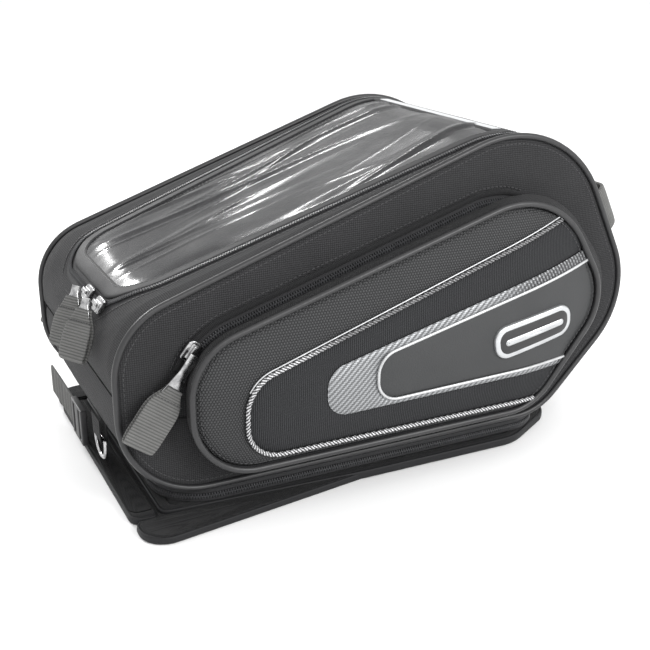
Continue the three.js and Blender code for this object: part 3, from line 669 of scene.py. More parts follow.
def dotted_leather():
    """Dark grey leatherette embossed with small six-sided cells.
    Two rectangular lattices, one shifted by half a step both ways, make the cells' centres."""
    finish = Finish("dotted_leather")
    u, v = finish.cloth(2.1)
    root = math.sqrt(3)
    height = None
    for shift in (0.0, 0.5):
        across = (u + shift).fraction() - 0.5
        up = ((v / root + shift).fraction() - 0.5) * root
        near = across * across + up * up
        height = near if height is None else height.lesser(near)
    cell = 1 - (height * 4.2).clipped()
    wear = finish.noise(40, 4)
    colour = finish.blend(cell, (0.006, 0.006, 0.007, 1), (0.038, 0.039, 0.040, 1))
    return finish.done(
        colour, 0.45 + wear * 0.18, finish.bump(cell, 0.45, 0.9), Specular_IOR_Level=0.35,
    )


def smooth_leather():
    """Dark grey leatherette, nearly smooth, with a fine pebble."""
    finish = Finish("smooth_leather")
    pebble = finish.node("TexVoronoi", {"feature": "SMOOTH_F1"}, {
        "Vector": finish.place(), "Scale": 900.0,
    })
    wear = finish.noise(35, 4)
    colour = finish.blend(wear, (0.026, 0.027, 0.028, 1), (0.042, 0.043, 0.044, 1))
    return finish.done(colour, 0.5 + wear * 0.2, finish.bump(pebble, 0.12, 0.6),
                       Specular_IOR_Level=0.35)


def ribbed_mesh():
    """Black mesh with fine upright ribs, each a row of small loops."""
    finish = Finish("ribbed_mesh")
    u, v = finish.cloth(1.5)
    rib = (u * math.pi).sine().size()
    loop = ((v * 1.3 + (u.floor() * 0.5)) * math.pi).sine().size()
    height = rib * (0.6 + 0.4 * loop)
    wear = finish.noise(40, 3)
    colour = finish.blend(height, (0.008, 0.008, 0.009, 1), (0.034, 0.035, 0.037, 1))
    return finish.done(colour, 0.7 + wear * 0.2, finish.bump(height, 0.5, 0.9),
                       Specular_IOR_Level=0.2)


def silver_twill():
    """Bright twill of silver and dark thread: diamonds lean with the weave, and towards the
    steering head the upper run shows more and more of the dark thread between its ribs."""
    finish = Finish("silver_twill")
    u, v = finish.cloth(1.15)
    step = ((u.floor() - v.floor()) * 0.25).fraction()
    warp = step.below(0.49)
    arch = (u * math.pi).sine().size() * (1 - warp) + (v * math.pi).sine().size() * warp
    x, _, z = finish.parts(finish.place())
    worn = ((x - 0.055) * 22).clipped() * ((z - 0.115) * 40).clipped()
    lean, upright = finish.cloth(3.1)
    rib = ((lean + upright * 0.55) * math.pi).sine().size()
    tone = (warp * 0.5 + arch * 0.42) * (1 - worn * (1 - rib.power(4)))
    colour = finish.blend(tone.clipped(), (0.03, 0.03, 0.032, 1), (0.37, 0.38, 0.39, 1))
    return finish.done(
        colour, 0.36 - warp * 0.06 + finish.noise(30) * 0.1,
        finish.bump(arch * 0.7 + rib * worn * 0.4, 0.3, 0.7), Metallic=0.45,
        Coat_Weight=0.2, Coat_Roughness=0.2,
    )


def silver_cord():
    """Smooth silver piping with a faint rubbed grain."""
    finish = Finish("silver_cord")
    rub = finish.noise(5, 3)
    colour = finish.blend(rub, (0.36, 0.365, 0.37, 1), (0.6, 0.605, 0.61, 1))
    return finish.done(colour, 0.26 + rub * 0.14, finish.bump(finish.noise(0.8), 0.08, 0.5),
                       Metallic=0.5)


def gloss_cord():
    """Glossy black twisted trim cord with silver painted on the crown of each twist: partly silver
    flecks in the cord, partly a painted highlight.
    """
    finish = Finish("gloss_cord")
    u, v = finish.cloth(2.6)
    strand = ((u + v * 0.8) * math.pi).sine().size()
    x, _, z = finish.parts(finish.place())
    plain = ((x + 0.09) * 30).clipped() * ((z - 0.095) * 60).clipped()
    # fleck: silver painted on each twist's crown, partly the cord's silver flecks and partly a painted
    # highlight; plain holds it back on the upper run.
    fleck = strand.power(3) * (1 - plain * 0.72)
    colour = finish.blend(fleck, (0.008, 0.008, 0.009, 1), (0.62, 0.62, 0.63, 1))
    return finish.done(colour, 0.22 + finish.noise(10) * 0.12, finish.bump(strand, 0.4, 0.9),
                       Metallic=fleck * 0.4, Coat_Weight=0.3, Coat_Roughness=0.1)


def grey_webbing(name, grey=0.10):
    """Woven grey webbing: strong ribs across it, and paler and darker threads along it."""
    finish = Finish(name)
    u, v = finish.cloth(1.0)
    rib = (u * (math.pi / 2.1)).sine().size()
    thread = plain_weave(u * 1.2, v * 1.4)
    grime = finish.noise(14, 4)
    tone = (rib * 0.55 + thread * 0.35 + grime * 0.3 - 0.15).clipped()
    low, high = grey * 0.32, grey * 1.7
    colour = finish.blend(tone, (low, low, low * 0.98, 1), (high, high, high * 0.97, 1))
    return finish.done(
        colour, 0.8 + grime * 0.12, finish.bump(rib * 0.7 + thread * 0.4, 0.5, 1.0),
        Sheen_Weight=0.1, Specular_IOR_Level=0.3,
    )


def plated(name, tint, rough):
    """Bright plated metal with polishing lines and a few rubbed patches."""
    finish = Finish(name)
    x, y, z = finish.parts(finish.place())
    lines = finish.node("TexNoise", {"noise_dimensions": "1D"}, {
        "W": (x + z * 1.7 + y * 0.4) * 4000, "Detail": 2.0,
    })
    rub = finish.noise(5, 4)
    low = tint * 0.3
    tone = (rub * 2.4 - 0.7).clipped()
    colour = finish.blend(tone, (low, low, low * 1.04, 1), (tint, tint, tint, 1))
    return finish.done(colour, rough + rub * 0.12, finish.bump(lines, 0.03, 0.4), Metallic=1.0)


def zip_nylon():
    """Black nylon coil, slightly polished by the sliders."""
    finish = Finish("zip_nylon")
    wear = finish.noise(6, 3)
    colour = finish.blend(wear, (0.022, 0.022, 0.024, 1), (0.060, 0.061, 0.064, 1))
    return finish.done(colour, 0.28 + wear * 0.2, finish.bump(finish.noise(0.8), 0.08, 0.5))


def zip_tape():
    """Black herringbone zip tape: ribs that lean one way and then the other."""
    finish = Finish("zip_tape")
    u, v = finish.cloth(1.1)
    lean = ((v * 0.25).fraction() - 0.5).size() * 4
    ribs = ((u + lean) * math.pi).sine().size()
    colour = finish.blend(ribs, (0.007, 0.007, 0.008, 1), (0.025, 0.025, 0.027, 1))
    return finish.done(colour, 0.7 + finish.noise(12) * 0.15, finish.bump(ribs, 0.25, 0.8))


def moulded_plastic():
    """Black moulded nylon with a fine spark texture and rubbed sheen."""
    finish = Finish("moulded_plastic")
    spark = finish.noise(0.5, 2)
    rub = finish.noise(9, 3)
    colour = finish.blend(rub, (0.010, 0.010, 0.011, 1), (0.022, 0.022, 0.023, 1))
    return finish.done(colour, 0.36 + rub * 0.2, finish.bump(spark, 0.06, 0.6))


def badge_metal():
    """Satin silver moulding with a soft grain."""
    finish = Finish("badge_metal")
    grain = finish.noise(0.7, 2)
    shade = finish.noise(16, 3)
    colour = finish.blend(shade, (0.42, 0.43, 0.44, 1), (0.62, 0.63, 0.64, 1))
    return finish.done(colour, 0.27 + grain * 0.1, finish.bump(grain, 0.04, 0.5), Metallic=0.85)


def reflective_strip():
    """Pale reflective tape with a fine diamond mesh under its face."""
    finish = Finish("reflective_strip")
    u, v = finish.cloth(1.6)
    mesh = ((u + v) * math.pi).sine().size() * ((u - v) * math.pi).sine().size()
    colour = finish.blend(mesh, (0.5, 0.51, 0.52, 1), (0.72, 0.73, 0.74, 1))
    return finish.done(colour, 0.3 + finish.noise(20) * 0.15, finish.bump(mesh, 0.1, 0.5),
                       Metallic=0.3)


def black_thread():
    """Twisted black sewing thread."""
    finish = Finish("black_thread")
    twist = finish.noise(0.6, 2)
    colour = finish.blend(twist, (0.014, 0.014, 0.015, 1), (0.05, 0.05, 0.052, 1))
    return finish.done(colour, 0.45 + twist * 0.2, finish.bump(twist, 0.1, 0.8))


set_camera()
CLOTH = woven_cloth("black_weave")
FINE_CLOTH = woven_cloth("fine_black_weave", pitch=1.1, dark=0.006, pale=0.024)
LINING = woven_cloth("map_pocket_weave", pitch=1.8, dark=0.006, pale=0.02, rough=0.85)
TAPE = binding_tape()
PIPING = satin_piping()
FILM = clear_film()
DOTTED = dotted_leather()
LEATHER = smooth_leather()
MESH = ribbed_mesh()
TWILL = silver_twill()
SILVER_CORD = silver_cord()
GLOSS_CORD = gloss_cord()
WEBBING = grey_webbing("grey_webbing")
CHROME = plated("bright_chrome", 0.6, 0.14)
COIL = zip_nylon()
ZIP_TAPE = zip_tape()
PLASTIC = moulded_plastic()
BADGE = badge_metal()
REFLECTIVE = reflective_strip()
THREAD = black_thread()


# ---------------------------------------------------------------- the body's surface
def body_runs():
    """The body's outline as two stretches: the top, from the hinge back to the nose seam, and
    the walls, on from there under the bag and up over the crest to the hinge."""
    line = evenly(rounded_outline(BODY_PROFILE), 1.0, closed=True)
    crest = np.argmin(np.abs(line[:, 0] - HINGE_X) - (line[:, 1] > 200) * 1e3)
    line = np.roll(line, -crest, axis=0)
    seam = np.argmin(np.linalg.norm(line - NOSE_SEAM, axis=1))
    return line[:seam + 1], np.vstack([line[seam:], line[:1]])


TOP_RUN, WALL_RUN = body_runs()
TOP_LENGTH = lengths_along(TOP_RUN)
TOP_NORMAL = plane_normals(TOP_RUN)


def distance_back(x):
    """Length over the top from the hinge to a place above x."""
    return np.interp(-np.asarray(x, float), -TOP_RUN[:, 0], TOP_LENGTH)


def over_top(distance, y, lift):
    """Points over the bag's top: so far back from the hinge, at y, and lifted off the surface."""
    x = np.interp(distance, TOP_LENGTH, TOP_RUN[:, 0])
    z = np.interp(distance, TOP_LENGTH, TOP_RUN[:, 1])
    normal_x = np.interp(distance, TOP_LENGTH, TOP_NORMAL[:, 0])
    normal_z = np.interp(distance, TOP_LENGTH, TOP_NORMAL[:, 1])
    y = np.broadcast_to(y, x.shape)
    return np.stack([x + normal_x * lift, y, z + normal_z * lift], axis=-1)


def lid_line(offset, side_points=90, corner_points=28, nose_points=60):
    """Plan of a line beside the lid's zip: along the far side, round the nose, and back.
    Each stretch has the same number of points at every offset, so that lines pair up."""
    beyond = 400
    wide = LID_HINGE_HALF + LID_SPREAD * (beyond - HINGE_X)
    corners = ((-LID_REACH, -LID_NOSE_HALF, LID_CORNER), (beyond, -wide, 1), (beyond, wide, 1),
               (-LID_REACH, LID_NOSE_HALF, LID_CORNER))
    arcs = rounded_outline(corners, offset, corner_points - 1)
    far_arc = arcs[-corner_points:]
    x = HINGE_X - 0.6
    start = np.array((x, far_arc[0, 1] + LID_SPREAD * (x - far_arc[0, 0])))
    share = np.linspace(0, 1, side_points)[:-1, None]
    far_side = np.vstack([start * (1 - share) + far_arc[0] * share, far_arc])
    across = np.linspace(1, -1, nose_points)[1:-1, None]
    nose = np.hstack([np.full_like(across, far_arc[-1, 0]), across * far_arc[-1, 1]])
    return np.vstack([far_side, nose, (far_side * (1, -1))[::-1]])


def on_lid(offset, lift):
    """The line beside the lid's zip, laid on the bag's surface and lifted."""
    plan = lid_line(offset)
    return over_top(distance_back(plan[:, 0]), plan[:, 1], lift)


def lid_frame(offset, lift):
    """Such a line with its directions away from the lid's middle and up off the surface."""
    line = on_lid(offset, lift)
    side = unit(on_lid(offset + 1, lift) - line)
    return line, side, unit(on_lid(offset, lift + 1) - line)


def cloth_walls():
    """Bottom, front and rider walls in one piece of cloth carried across the bag.
    It swells a little in the middle, dips into the piping at its edges and is never quite even."""
    line = evenly(WALL_RUN, 2.6)
    normal = plane_normals(line)
    y = WALL_HALF * np.sin(np.linspace(-math.pi / 2, math.pi / 2, 90))
    run, across = np.meshgrid(lengths_along(line), y, indexing="ij")
    edge = WALL_HALF - np.abs(across)
    standing = np.clip((line[:, 1] - 26) / 30, 0, 1)[:, None]
    ends = np.minimum(run, run.max() - run)
    loose = 1 - np.exp(-(ends / 22) ** 2)
    lift = (
        CLOTH_SINK
        - 1.7 * np.exp(-(edge / 5) ** 2)
        - 0.8 * np.exp(-(ends / 3) ** 2)
        + 2.2 * standing * loose * (1 - (across / WALL_HALF) ** 2)
        + 0.7 * ripple(run, across, 3, 60) * standing * loose
    )
    x = line[:, None, 0] + normal[:, None, 0] * lift
    z = line[:, None, 1] + normal[:, None, 1] * lift
    grid = np.stack([x, across, z], axis=-1)
    piece = cloth_sheet("cloth_walls", grid, 2.6, cloth=np.stack([run, across], axis=-1))
    dress(piece, CLOTH, "black_cloth", "bag", "bottom_panel", "front_wall", "rider_wall")


def cloth_rim():
    """Cloth between the lid's zip and the piping, and down the nose to the rider wall.
    Lines run from the zip's edge straight to the border of a rectangle that wraps the nose."""
    inner = lid_line(ZIP_HALF + GAP)
    inner = np.stack([distance_back(inner[:, 0]), inner[:, 1]], axis=1)
    count = len(inner)
    reach = TOP_LENGTH[-1]
    border = np.array([(0.6, WALL_HALF), (reach, WALL_HALF), (reach, -WALL_HALF), (0.6, -WALL_HALF)])
    corner = 90 + 14
    spans = [(border[0], border[1], corner), (border[1], border[2], count - 2 * corner),
             (border[2], border[3], corner)]
    outer = np.concatenate([
        start + (end - start) * np.linspace(0, 1, number, endpoint=last)[:, None]
        for (start, end, number), last in zip(spans, (False, False, True))
    ])
    share = np.linspace(0, 1, 34)[None, :, None]
    flat = inner[:, None] * (1 - share) + outer[:, None] * share
    distance, y = flat[..., 0], flat[..., 1]
    edge = np.linalg.norm(flat - outer[:, None], axis=2)
    hem = np.linalg.norm(flat - inner[:, None], axis=2)
    wide = np.clip(np.minimum(edge, hem) / 25, 0, 1)
    lift = (
        CLOTH_SINK
        - 1.7 * np.exp(-(edge / 4) ** 2)
        - 0.5 * np.exp(-(hem / 3) ** 2)
        + wide * (1.6 + 0.9 * ripple(distance, y, 5, 45))
    )
    piece = cloth_sheet("cloth_rim", over_top(distance, y, lift), 2.2, cloth=flat)
    dress(piece, CLOTH, "black_cloth", "bag", "top_rim")
    line, side, up = lid_frame(ZIP_HALF + 4.0, 0.0)
    stitches("rim_stitches", line, side, up, THREAD, "black_cloth", "bag")


def side_panels():
    """Side cloth: rings shrink from the seam to a middle point, with a soft pillow by the piping."""
    outline = evenly(rounded_outline(BODY_PROFILE, -1.2), 4.0, closed=True)
    middle = np.array((20.0, 130.0))
    share = np.linspace(0, 1, 64) ** 1.2
    flat = outline[:, None] + (middle - outline)[:, None] * share[None, :, None] * 0.999
    depth = inside_depth(flat, outline)
    pillow = 2.6 * (1 - np.exp(-depth / 7)) * np.exp(-(depth / 60) ** 2)
    for name, side in SIDES:
        loose = 0.8 * ripple(flat[..., 0], flat[..., 1], 11 + side, 55) * np.clip(depth / 12, 0, 1)
        y = side * (PANEL_FAR - 1.6 + pillow + loose)
        grid = np.stack([flat[..., 0], y, flat[..., 1]], axis=-1)
        piece = cloth_sheet(f"side_cloth_{name}", grid, 2.4, cloth=flat, wrap_rows=True)
        dress(piece, CLOTH, "black_cloth", "bag", f"side_panel_{name}")
        x = np.linspace(*SIDE_SEAM_X, 40)
        seam = np.column_stack([x, np.full(40, side * (PANEL_FAR + 0.6)), SIDE_SEAM_Z - 0.2 * x])
        across, up = np.tile((0.2, 0, 1.0), (40, 1)), np.tile((0.0, side, 0.0), (40, 1))
        tuck = swept(f"side_seam_{name}", seam, across, up, oval(1.4, 1.0, 2.0, 10))
        dress(tuck, TAPE, "black_cloth", "bag")


def outline_tube(name, corners, y, radius, side, finish, slot, body, *nodes, offset=0.0):
    """Round cord along a side-view outline."""
    line = evenly(rounded_outline(corners, offset), 2.5, closed=True)
    normal = plane_normals(line, closed=True)
    path = np.stack([line[:, 0], np.full(len(line), y), line[:, 1]], axis=1)
    across = np.stack([normal[:, 0], np.zeros(len(line)), normal[:, 1]], axis=1)
    up = np.tile((0.0, side, 0.0), (len(line), 1))
    tube = swept(name, path, across, up, oval(2 * radius, 2 * radius, 2.0, 16), wrap=True)
    return dress(tube, finish, slot, body, *nodes)


def body_piping():
    """Satin piping round both sides, with a row of stitches just inside it."""
    for name, side in SIDES:
        outline_tube(f"body_piping_{name}", BODY_PROFILE, side * SEAM_Y, PIPING_RADIUS, side,
                     PIPING, "satin_piping", "bag", f"piping_{name}")
        line = evenly(rounded_outline(BODY_PROFILE, -FACE_INSET - 3.0), 2.0, closed=True)
        place = np.stack([line[:, 0], np.full(len(line), side * (PANEL_FAR - 0.5)), line[:, 1]], axis=1)
        across = np.insert(plane_normals(line, True), 1, 0.0, axis=1)
        up = np.tile((0.0, side, 0.0), (len(line), 1))
        stitches(f"seam_stitches_{name}", place, across, up, THREAD, "black_cloth", "bag", wrap=True)


# ---------------------------------------------------------------- lid
def lid_strip(name, section, finish, slot, body, *nodes):
    """A closed section of (offset, lift) points carried round the lid's three free edges."""
    grid = np.stack([on_lid(offset, lift) for offset, lift in section], axis=1)
    return dress(skin(name, grid), finish, slot, body, *nodes)


def strip_section(low_offset, high_offset, floor, top, count=26, power=5.0):
    """A flat rounded section between two offsets and two lifts."""
    section = oval(high_offset - low_offset, top - floor, power, count)
    return section + ((low_offset + high_offset) / 2, (floor + top) / 2)


def lid_zip():
    """Two woven tapes with a row of coil each: the outer stays with the bag, the inner lifts."""
    lid_strip("lid_tape_outer", strip_section(0.7, ZIP_HALF + 2.5, -2.0, -0.9), ZIP_TAPE,
              "zip_coil", "bag", "lid_zip_outer")
    lid_strip("lid_tape_inner", strip_section(-ZIP_HALF - 1.5, -0.7, -2.0, -0.9), ZIP_TAPE,
              "zip_coil", "lid", "lid_zip_inner")
    line, side, up = lid_frame(0.0, 0.35)
    zip_teeth("lid_coil_outer", line, side, up, COIL, "zip_coil", "bag")
    zip_teeth("lid_coil_inner", line, -side, up, COIL, "zip_coil", "lid")


def lid_binding():
    """Smooth border of the lid: a shallow roll with a row of stitches along its inner edge."""
    outer = -ZIP_HALF - GAP
    inner = outer - BINDING_WIDTH
    section = []
    for angle in np.linspace(0, 2 * math.pi, 40, endpoint=False):
        width = math.copysign(abs(math.cos(angle)) ** 0.4, math.cos(angle)) * BINDING_WIDTH / 2
        rise = math.copysign(abs(math.sin(angle)) ** 0.6, math.sin(angle))
        lift = -1.6 + rise * (2.3 if rise > 0 else 1.6)
        section.append(((outer + inner) / 2 + width, lift))
    lid_strip("lid_border", section, TAPE, "black_cloth", "lid", "lid_binding")
    line, side, up = (part[3:-3] for part in lid_frame(inner + 1.7, 0.62))  # short of the hinge
    stitches("lid_stitches", line, side, up, THREAD, "black_cloth", "lid")


def film_grid(margin, columns=150, rows=130):
    """Plan grid over the lid inside a margin: cross lines whose ends follow the rounded nose."""
    line = lid_line(-margin)
    far_side = line[:len(line) // 2]
    far_side = far_side[far_side[:, 0] > far_side[:, 0].min() + 0.01]
    x = np.linspace(HINGE_X - 1, far_side[:, 0].min(), columns)
    width = np.interp(-x, -far_side[:, 0], far_side[:, 1])
    share = np.linspace(-1, 1, rows)
    return np.broadcast_to(x[:, None], (columns, rows)), width[:, None] * share[None]


def film_creases(x, y):
    """Lift of the slack film: shallow billows under long sharp folds and many small creases.
    A fold is a ridge about a wandering line, strongest in its own stretch of the lid."""
    random = np.random.default_rng(21)
    lift = 1.6 * ripple(x, y * 1.4, 8, 130)
    for number, steep, wide, high, long in ((9, 0.14, (5, 12), (0.9, 1.9), (60, 140)),
                                            (9, 0.25, (2.0, 4.0), (0.2, 0.6), (30, 70))):
        for _ in range(number):
            middle, start = random.uniform(-80, 80), random.uniform(-170, 80)
            slope, wave = random.uniform(-steep, steep), random.uniform(1, 5)
            width, height = random.uniform(*wide), random.uniform(*high)
            line = middle + slope * (x - start) + wave * np.sin((x - start) / 38)
            reach = np.exp(-((x - start) / random.uniform(*long)) ** 2)
            lift += height * reach * np.clip(1 - np.abs(y - line) / width, 0, 1) ** 1.5
    return lift


def window():
    """Clear film over the map pocket, creased along the bag and held flat along its border."""
    x, y = film_grid(ZIP_HALF + GAP + BINDING_WIDTH - 1.5)
    rim = np.minimum(np.abs(np.abs(y) - np.abs(y).max(axis=1, keepdims=True)), x - x.min())
    rim = np.minimum(rim, HINGE_X - x)
    held = 1 - np.exp(-(rim / 9) ** 2)
    lift = CLOTH_SINK + 0.2 + held * (0.8 + film_creases(x, y))
    front = over_top(distance_back(x), y, lift)
    flat = np.stack([distance_back(x), y], axis=-1)
    film = cloth_sheet("map_film", front, 0.4, cloth=flat)
    dress(film, FILM, "clear_film", "lid", "map_window")
    under = over_top(distance_back(x), y, np.full(x.shape, -3.4) + 0.5 * ripple(x, y, 4, 50))
    cloth = cloth_sheet("map_pocket_cloth", under, 1.4, cloth=flat)
    dress(cloth, LINING, "black_cloth", "lid", "lid_panel")


def lid_head():
    """Hem across the hinge end of the lid, with a strip of reflective tape sewn on it."""
    half = LID_HINGE_HALF - ZIP_HALF - 3
    y = np.linspace(-half, half, 120)
    for name, back, front, floor, top, finish, slot in (
        ("lid_hem", 17.0, 1.0, -2.4, 0.9, TAPE, "black_cloth"),
        ("lid_reflector", 13.5, 5.5, 0.7, 1.35, REFLECTIVE, "silver_twill"),
    ):
        section = strip_section(back, front, floor, top, 30)
        width = y if name == "lid_hem" else y * 0.86
        grid = np.stack([over_top(np.full(len(y), d), width, lift) for d, lift in section], axis=1)
        dress(skin(name, grid), finish, slot, "lid")
    for back in (2.6, 15.6):
        line = over_top(np.full(len(y), back), y, 0.85)
        up = unit(over_top(np.full(len(y), back), y, 2.0) - line)
        side = np.cross(up, tangents(line))
        stitches(f"hem_stitches_{int(back)}", line, side, up, THREAD, "black_cloth", "lid")


# ---------------------------------------------------------------- side pockets
FACE_OUTLINE = rounded_outline(POCKET_FACE, -FACE_INSET, 20)


def face_height(flat):
    """How far the moulded face stands from the middle: its rim, and a dome over its inner part."""
    depth = np.clip(inside_depth(flat, FACE_OUTLINE), 0, CROWN_REACH)
    return FACE_Y - 1.0 + (FACE_CROWN + 1.0) * (1 - (1 - depth / CROWN_REACH) ** 2.2)


def face_field(corners):
    """One seam line of the face: from its upper end on the rim, round the nose, to its lower end."""
    line = evenly(rounded_outline(corners, 0, 24), 0.8, closed=True)
    line = np.roll(line, -int(np.argmax(line[:, 0])), axis=0)
    inner = line[inside_depth(line, FACE_OUTLINE) > -0.2]
    above = inner[:, 1] > FIELD_END_SPLIT
    start = int(np.argmax(inner[:, 0] + above * 500))
    return np.roll(inner, -start, axis=0)


def rim_between(start, end, count):
    """Stretch of the face's rim going anticlockwise between the places nearest two points."""
    rim = evenly(FACE_OUTLINE, 0.6, closed=True)
    first = int(np.argmin(np.linalg.norm(rim - start, axis=1)))
    rim = np.roll(rim, -first, axis=0)
    last = int(np.argmin(np.linalg.norm(rim - end, axis=1)))
    return evenly(rim[:max(last, 1) + 1], 1, count=count)


def patch(first, second, start_edge, end_edge):
    """Coons patch: two long edges and two short ones, with the corners' share taken off."""
    t = np.linspace(0, 1, len(first))[:, None, None]
    v = np.linspace(0, 1, len(start_edge))[None, :, None]
    long = (1 - v) * first[:, None] + v * second[:, None]
    short = (1 - t) * start_edge[None] + t * end_edge[None]
    corner = (
        (1 - t) * (1 - v) * first[0] + t * (1 - v) * first[-1]
        + (1 - t) * v * second[0] + t * v * second[-1]
    )
    return long + short - corner


def face_piece(name, side, flat, puff, finish, slot, body, node):
    """One sewn field of the face: it follows the dome, swells between seams and dips at them."""
    share = np.linspace(0, 1, flat.shape[1])[None]
    swell = 1 - (2 * share - 1) ** 4
    width = np.linalg.norm(flat[:, -1] - flat[:, 0], axis=1)[:, None]
    height = face_height(flat) + puff * (swell - 1) * np.clip(width / 14, 0, 1)
    grid = np.stack([flat[..., 0], side * height, flat[..., 1]], axis=-1)
    piece = cloth_sheet(name, grid, 2.2, cloth=flat)
    dress(piece, finish, slot, body, node)


def line_on_face(line, side, lift):
    """A plan line laid on the dome, with its directions across the line and out of the face."""
    path = np.stack([line[:, 0], side * (face_height(line) + lift), line[:, 1]], axis=1)
    across = np.insert(plane_normals(line), 1, 0.0, axis=1)
    up = np.tile((0.0, side, 0.0), (len(line), 1))
    return path, across, up


def twisted_cord(name, line, side, radius, twist, finish, slot, body, *nodes):
    """A cord of three strands: its section is a rounded three-lobed wheel that turns as it runs."""
    path, across, up = line_on_face(evenly(line, 0.7), side, radius * 0.55)
    run = lengths_along(path)[:, None]
    angle = np.linspace(0, 2 * math.pi, 18, endpoint=False)[None]
    lobes = radius * (1 + 0.17 * np.cos(3 * angle - 2 * math.pi * run / twist))
    section = np.stack([lobes * np.cos(angle), lobes * np.sin(angle)], axis=-1)
    return dress(swept(name, path, across, up, section), finish, slot, body, *nodes)


def pocket_face(name, side, body):
    """The moulded face: four sewn fields between the rim and three nested seam lines."""
    count, across = 300, 26
    outer = evenly(face_field(BAND_OUTER), 1, count=count)
    middle = evenly(face_field(SILVER_OUTER), 1, count=count)
    inner = evenly(face_field(SILVER_INNER), 1, count=count)
    rim = rim_between(outer[0], outer[-1], count)
    flats = {
        "hex_band": (patch(rim, outer, np.tile(rim[0], (across, 1)),
                           np.tile(rim[-1], (across, 1))), 1.6, DOTTED, "hex_leather"),
        "mesh_band": (patch(outer, middle, rim_between(middle[0], outer[0], across)[::-1],
                            rim_between(outer[-1], middle[-1], across)), 1.9, MESH, "ribbed_mesh"),
        "silver_band": (patch(middle, inner, rim_between(inner[0], middle[0], across)[::-1],
                              rim_between(middle[-1], inner[-1], across)), 1.2, TWILL, "silver_twill"),
    }
    for field, (flat, puff, finish, slot) in flats.items():
        face_piece(f"{field}_{name}", side, flat, puff, finish, slot, body, f"pocket_{field}_{name}")
    right = rim_between(inner[-1], inner[0], count)[::-1]
    still = np.tile(inner[0], (across * 2, 1))
    flat = patch(inner, right, still, np.tile(inner[-1], (across * 2, 1)))
    face_piece(f"centre_panel_{name}", side, flat, 1.4, LEATHER, "smooth_leather", body,
               f"pocket_centre_{name}")
    twisted_cord(f"trim_cord_{name}", outer, side, 1.5, 5.2, GLOSS_CORD, "silver_twill", body,
                 f"pocket_trim_cord_{name}")
    high = outer[:, 1] > TRIM_LINE_FOOT
    above = outer[high] + plane_normals(outer)[high] * 2.4
    for seam, line, thick in (("inner", inner, 2.2), ("trim", above, 1.1)):
        path, out, up = line_on_face(line, side, 0.3)
        tube = swept(f"silver_edge_{seam}_{name}", path, out, up, oval(thick, thick * 0.9, 2.0, 12))
        dress(tube, SILVER_CORD, "silver_twill", body)


def pocket_gusset(name, side, body):
    """Cloth wall of the pocket: lines from the back seam to the face's rim, bowed outwards."""
    count = 260
    back = evenly(rounded_outline(POCKET_BACK), 1, closed=True, count=count)
    face = evenly(rounded_outline(POCKET_FACE), 1, closed=True, count=count)
    share = np.linspace(0, 1, 22)[None, :, None]
    flat = back[:, None] * (1 - share) + face[:, None] * share
    bow = np.sin(share[..., 0] * math.pi)
    run = lengths_along(np.vstack([back, back[:1]]))[:-1]
    depth = POCKET_BACK_Y + (FACE_BACK_Y + 1.2 - POCKET_BACK_Y) * share[..., 0]
    depth = np.broadcast_to(depth, flat.shape[:2])
    round_run = run[:, None] * np.ones_like(depth)
    looseness = 0.5 * ripple(round_run, depth, 17 + side, 34) * bow
    normal = plane_normals(back, closed=True)
    flat = flat + normal[:, None] * (1.1 * bow + looseness)[..., None]
    grid = np.stack([flat[..., 0], side * depth, flat[..., 1]], axis=-1)
    cloth = np.stack([round_run, depth], axis=-1)
    heart = np.array((0.0, side * 126.0, 110.0))
    piece = cloth_sheet(f"pocket_wall_{name}", grid, 2.2, heart, cloth, wrap_rows=True)
    dress(piece, CLOTH, "black_cloth", body, f"pocket_gusset_{name}")
    outline_tube(f"face_piping_{name}", POCKET_FACE, side * FACE_PIPING_Y, PIPING_RADIUS, side,
                 PIPING, "satin_piping", body, f"pocket_piping_{name}")
    line = evenly(rounded_outline(POCKET_FACE, -FACE_INSET - 2.5), 2.0, closed=True)
    place, across, up = line_on_face(line, side, 0.1)
    stitches(f"face_stitches_{name}", place, across, up, THREAD, "black_cloth", body, wrap=True)


POCKET_ZIP_REACH = 4.0  # coil's line outside the pocket's back seam
POCKET_ZIP_START, POCKET_ZIP_END = (-160, 112), (100, 206)
POCKET_ZIP_CENTRE = (0, 100)


def between_angles(line, start, end, centre):
    """The stretch of a closed line seen from a centre between two directions."""
    angle = np.arctan2(line[:, 1] - centre[1], line[:, 0] - centre[0])
    low = math.atan2(end[1] - centre[1], end[0] - centre[0])
    high = math.atan2(start[1] - centre[1], start[0] - centre[0])
    kept = line[(angle >= low) & (angle <= high)]
    first = int(np.argmin(np.abs(np.arctan2(kept[:, 1] - centre[1], kept[:, 0] - centre[0]) - low)))
    return np.roll(kept, -first, axis=0)


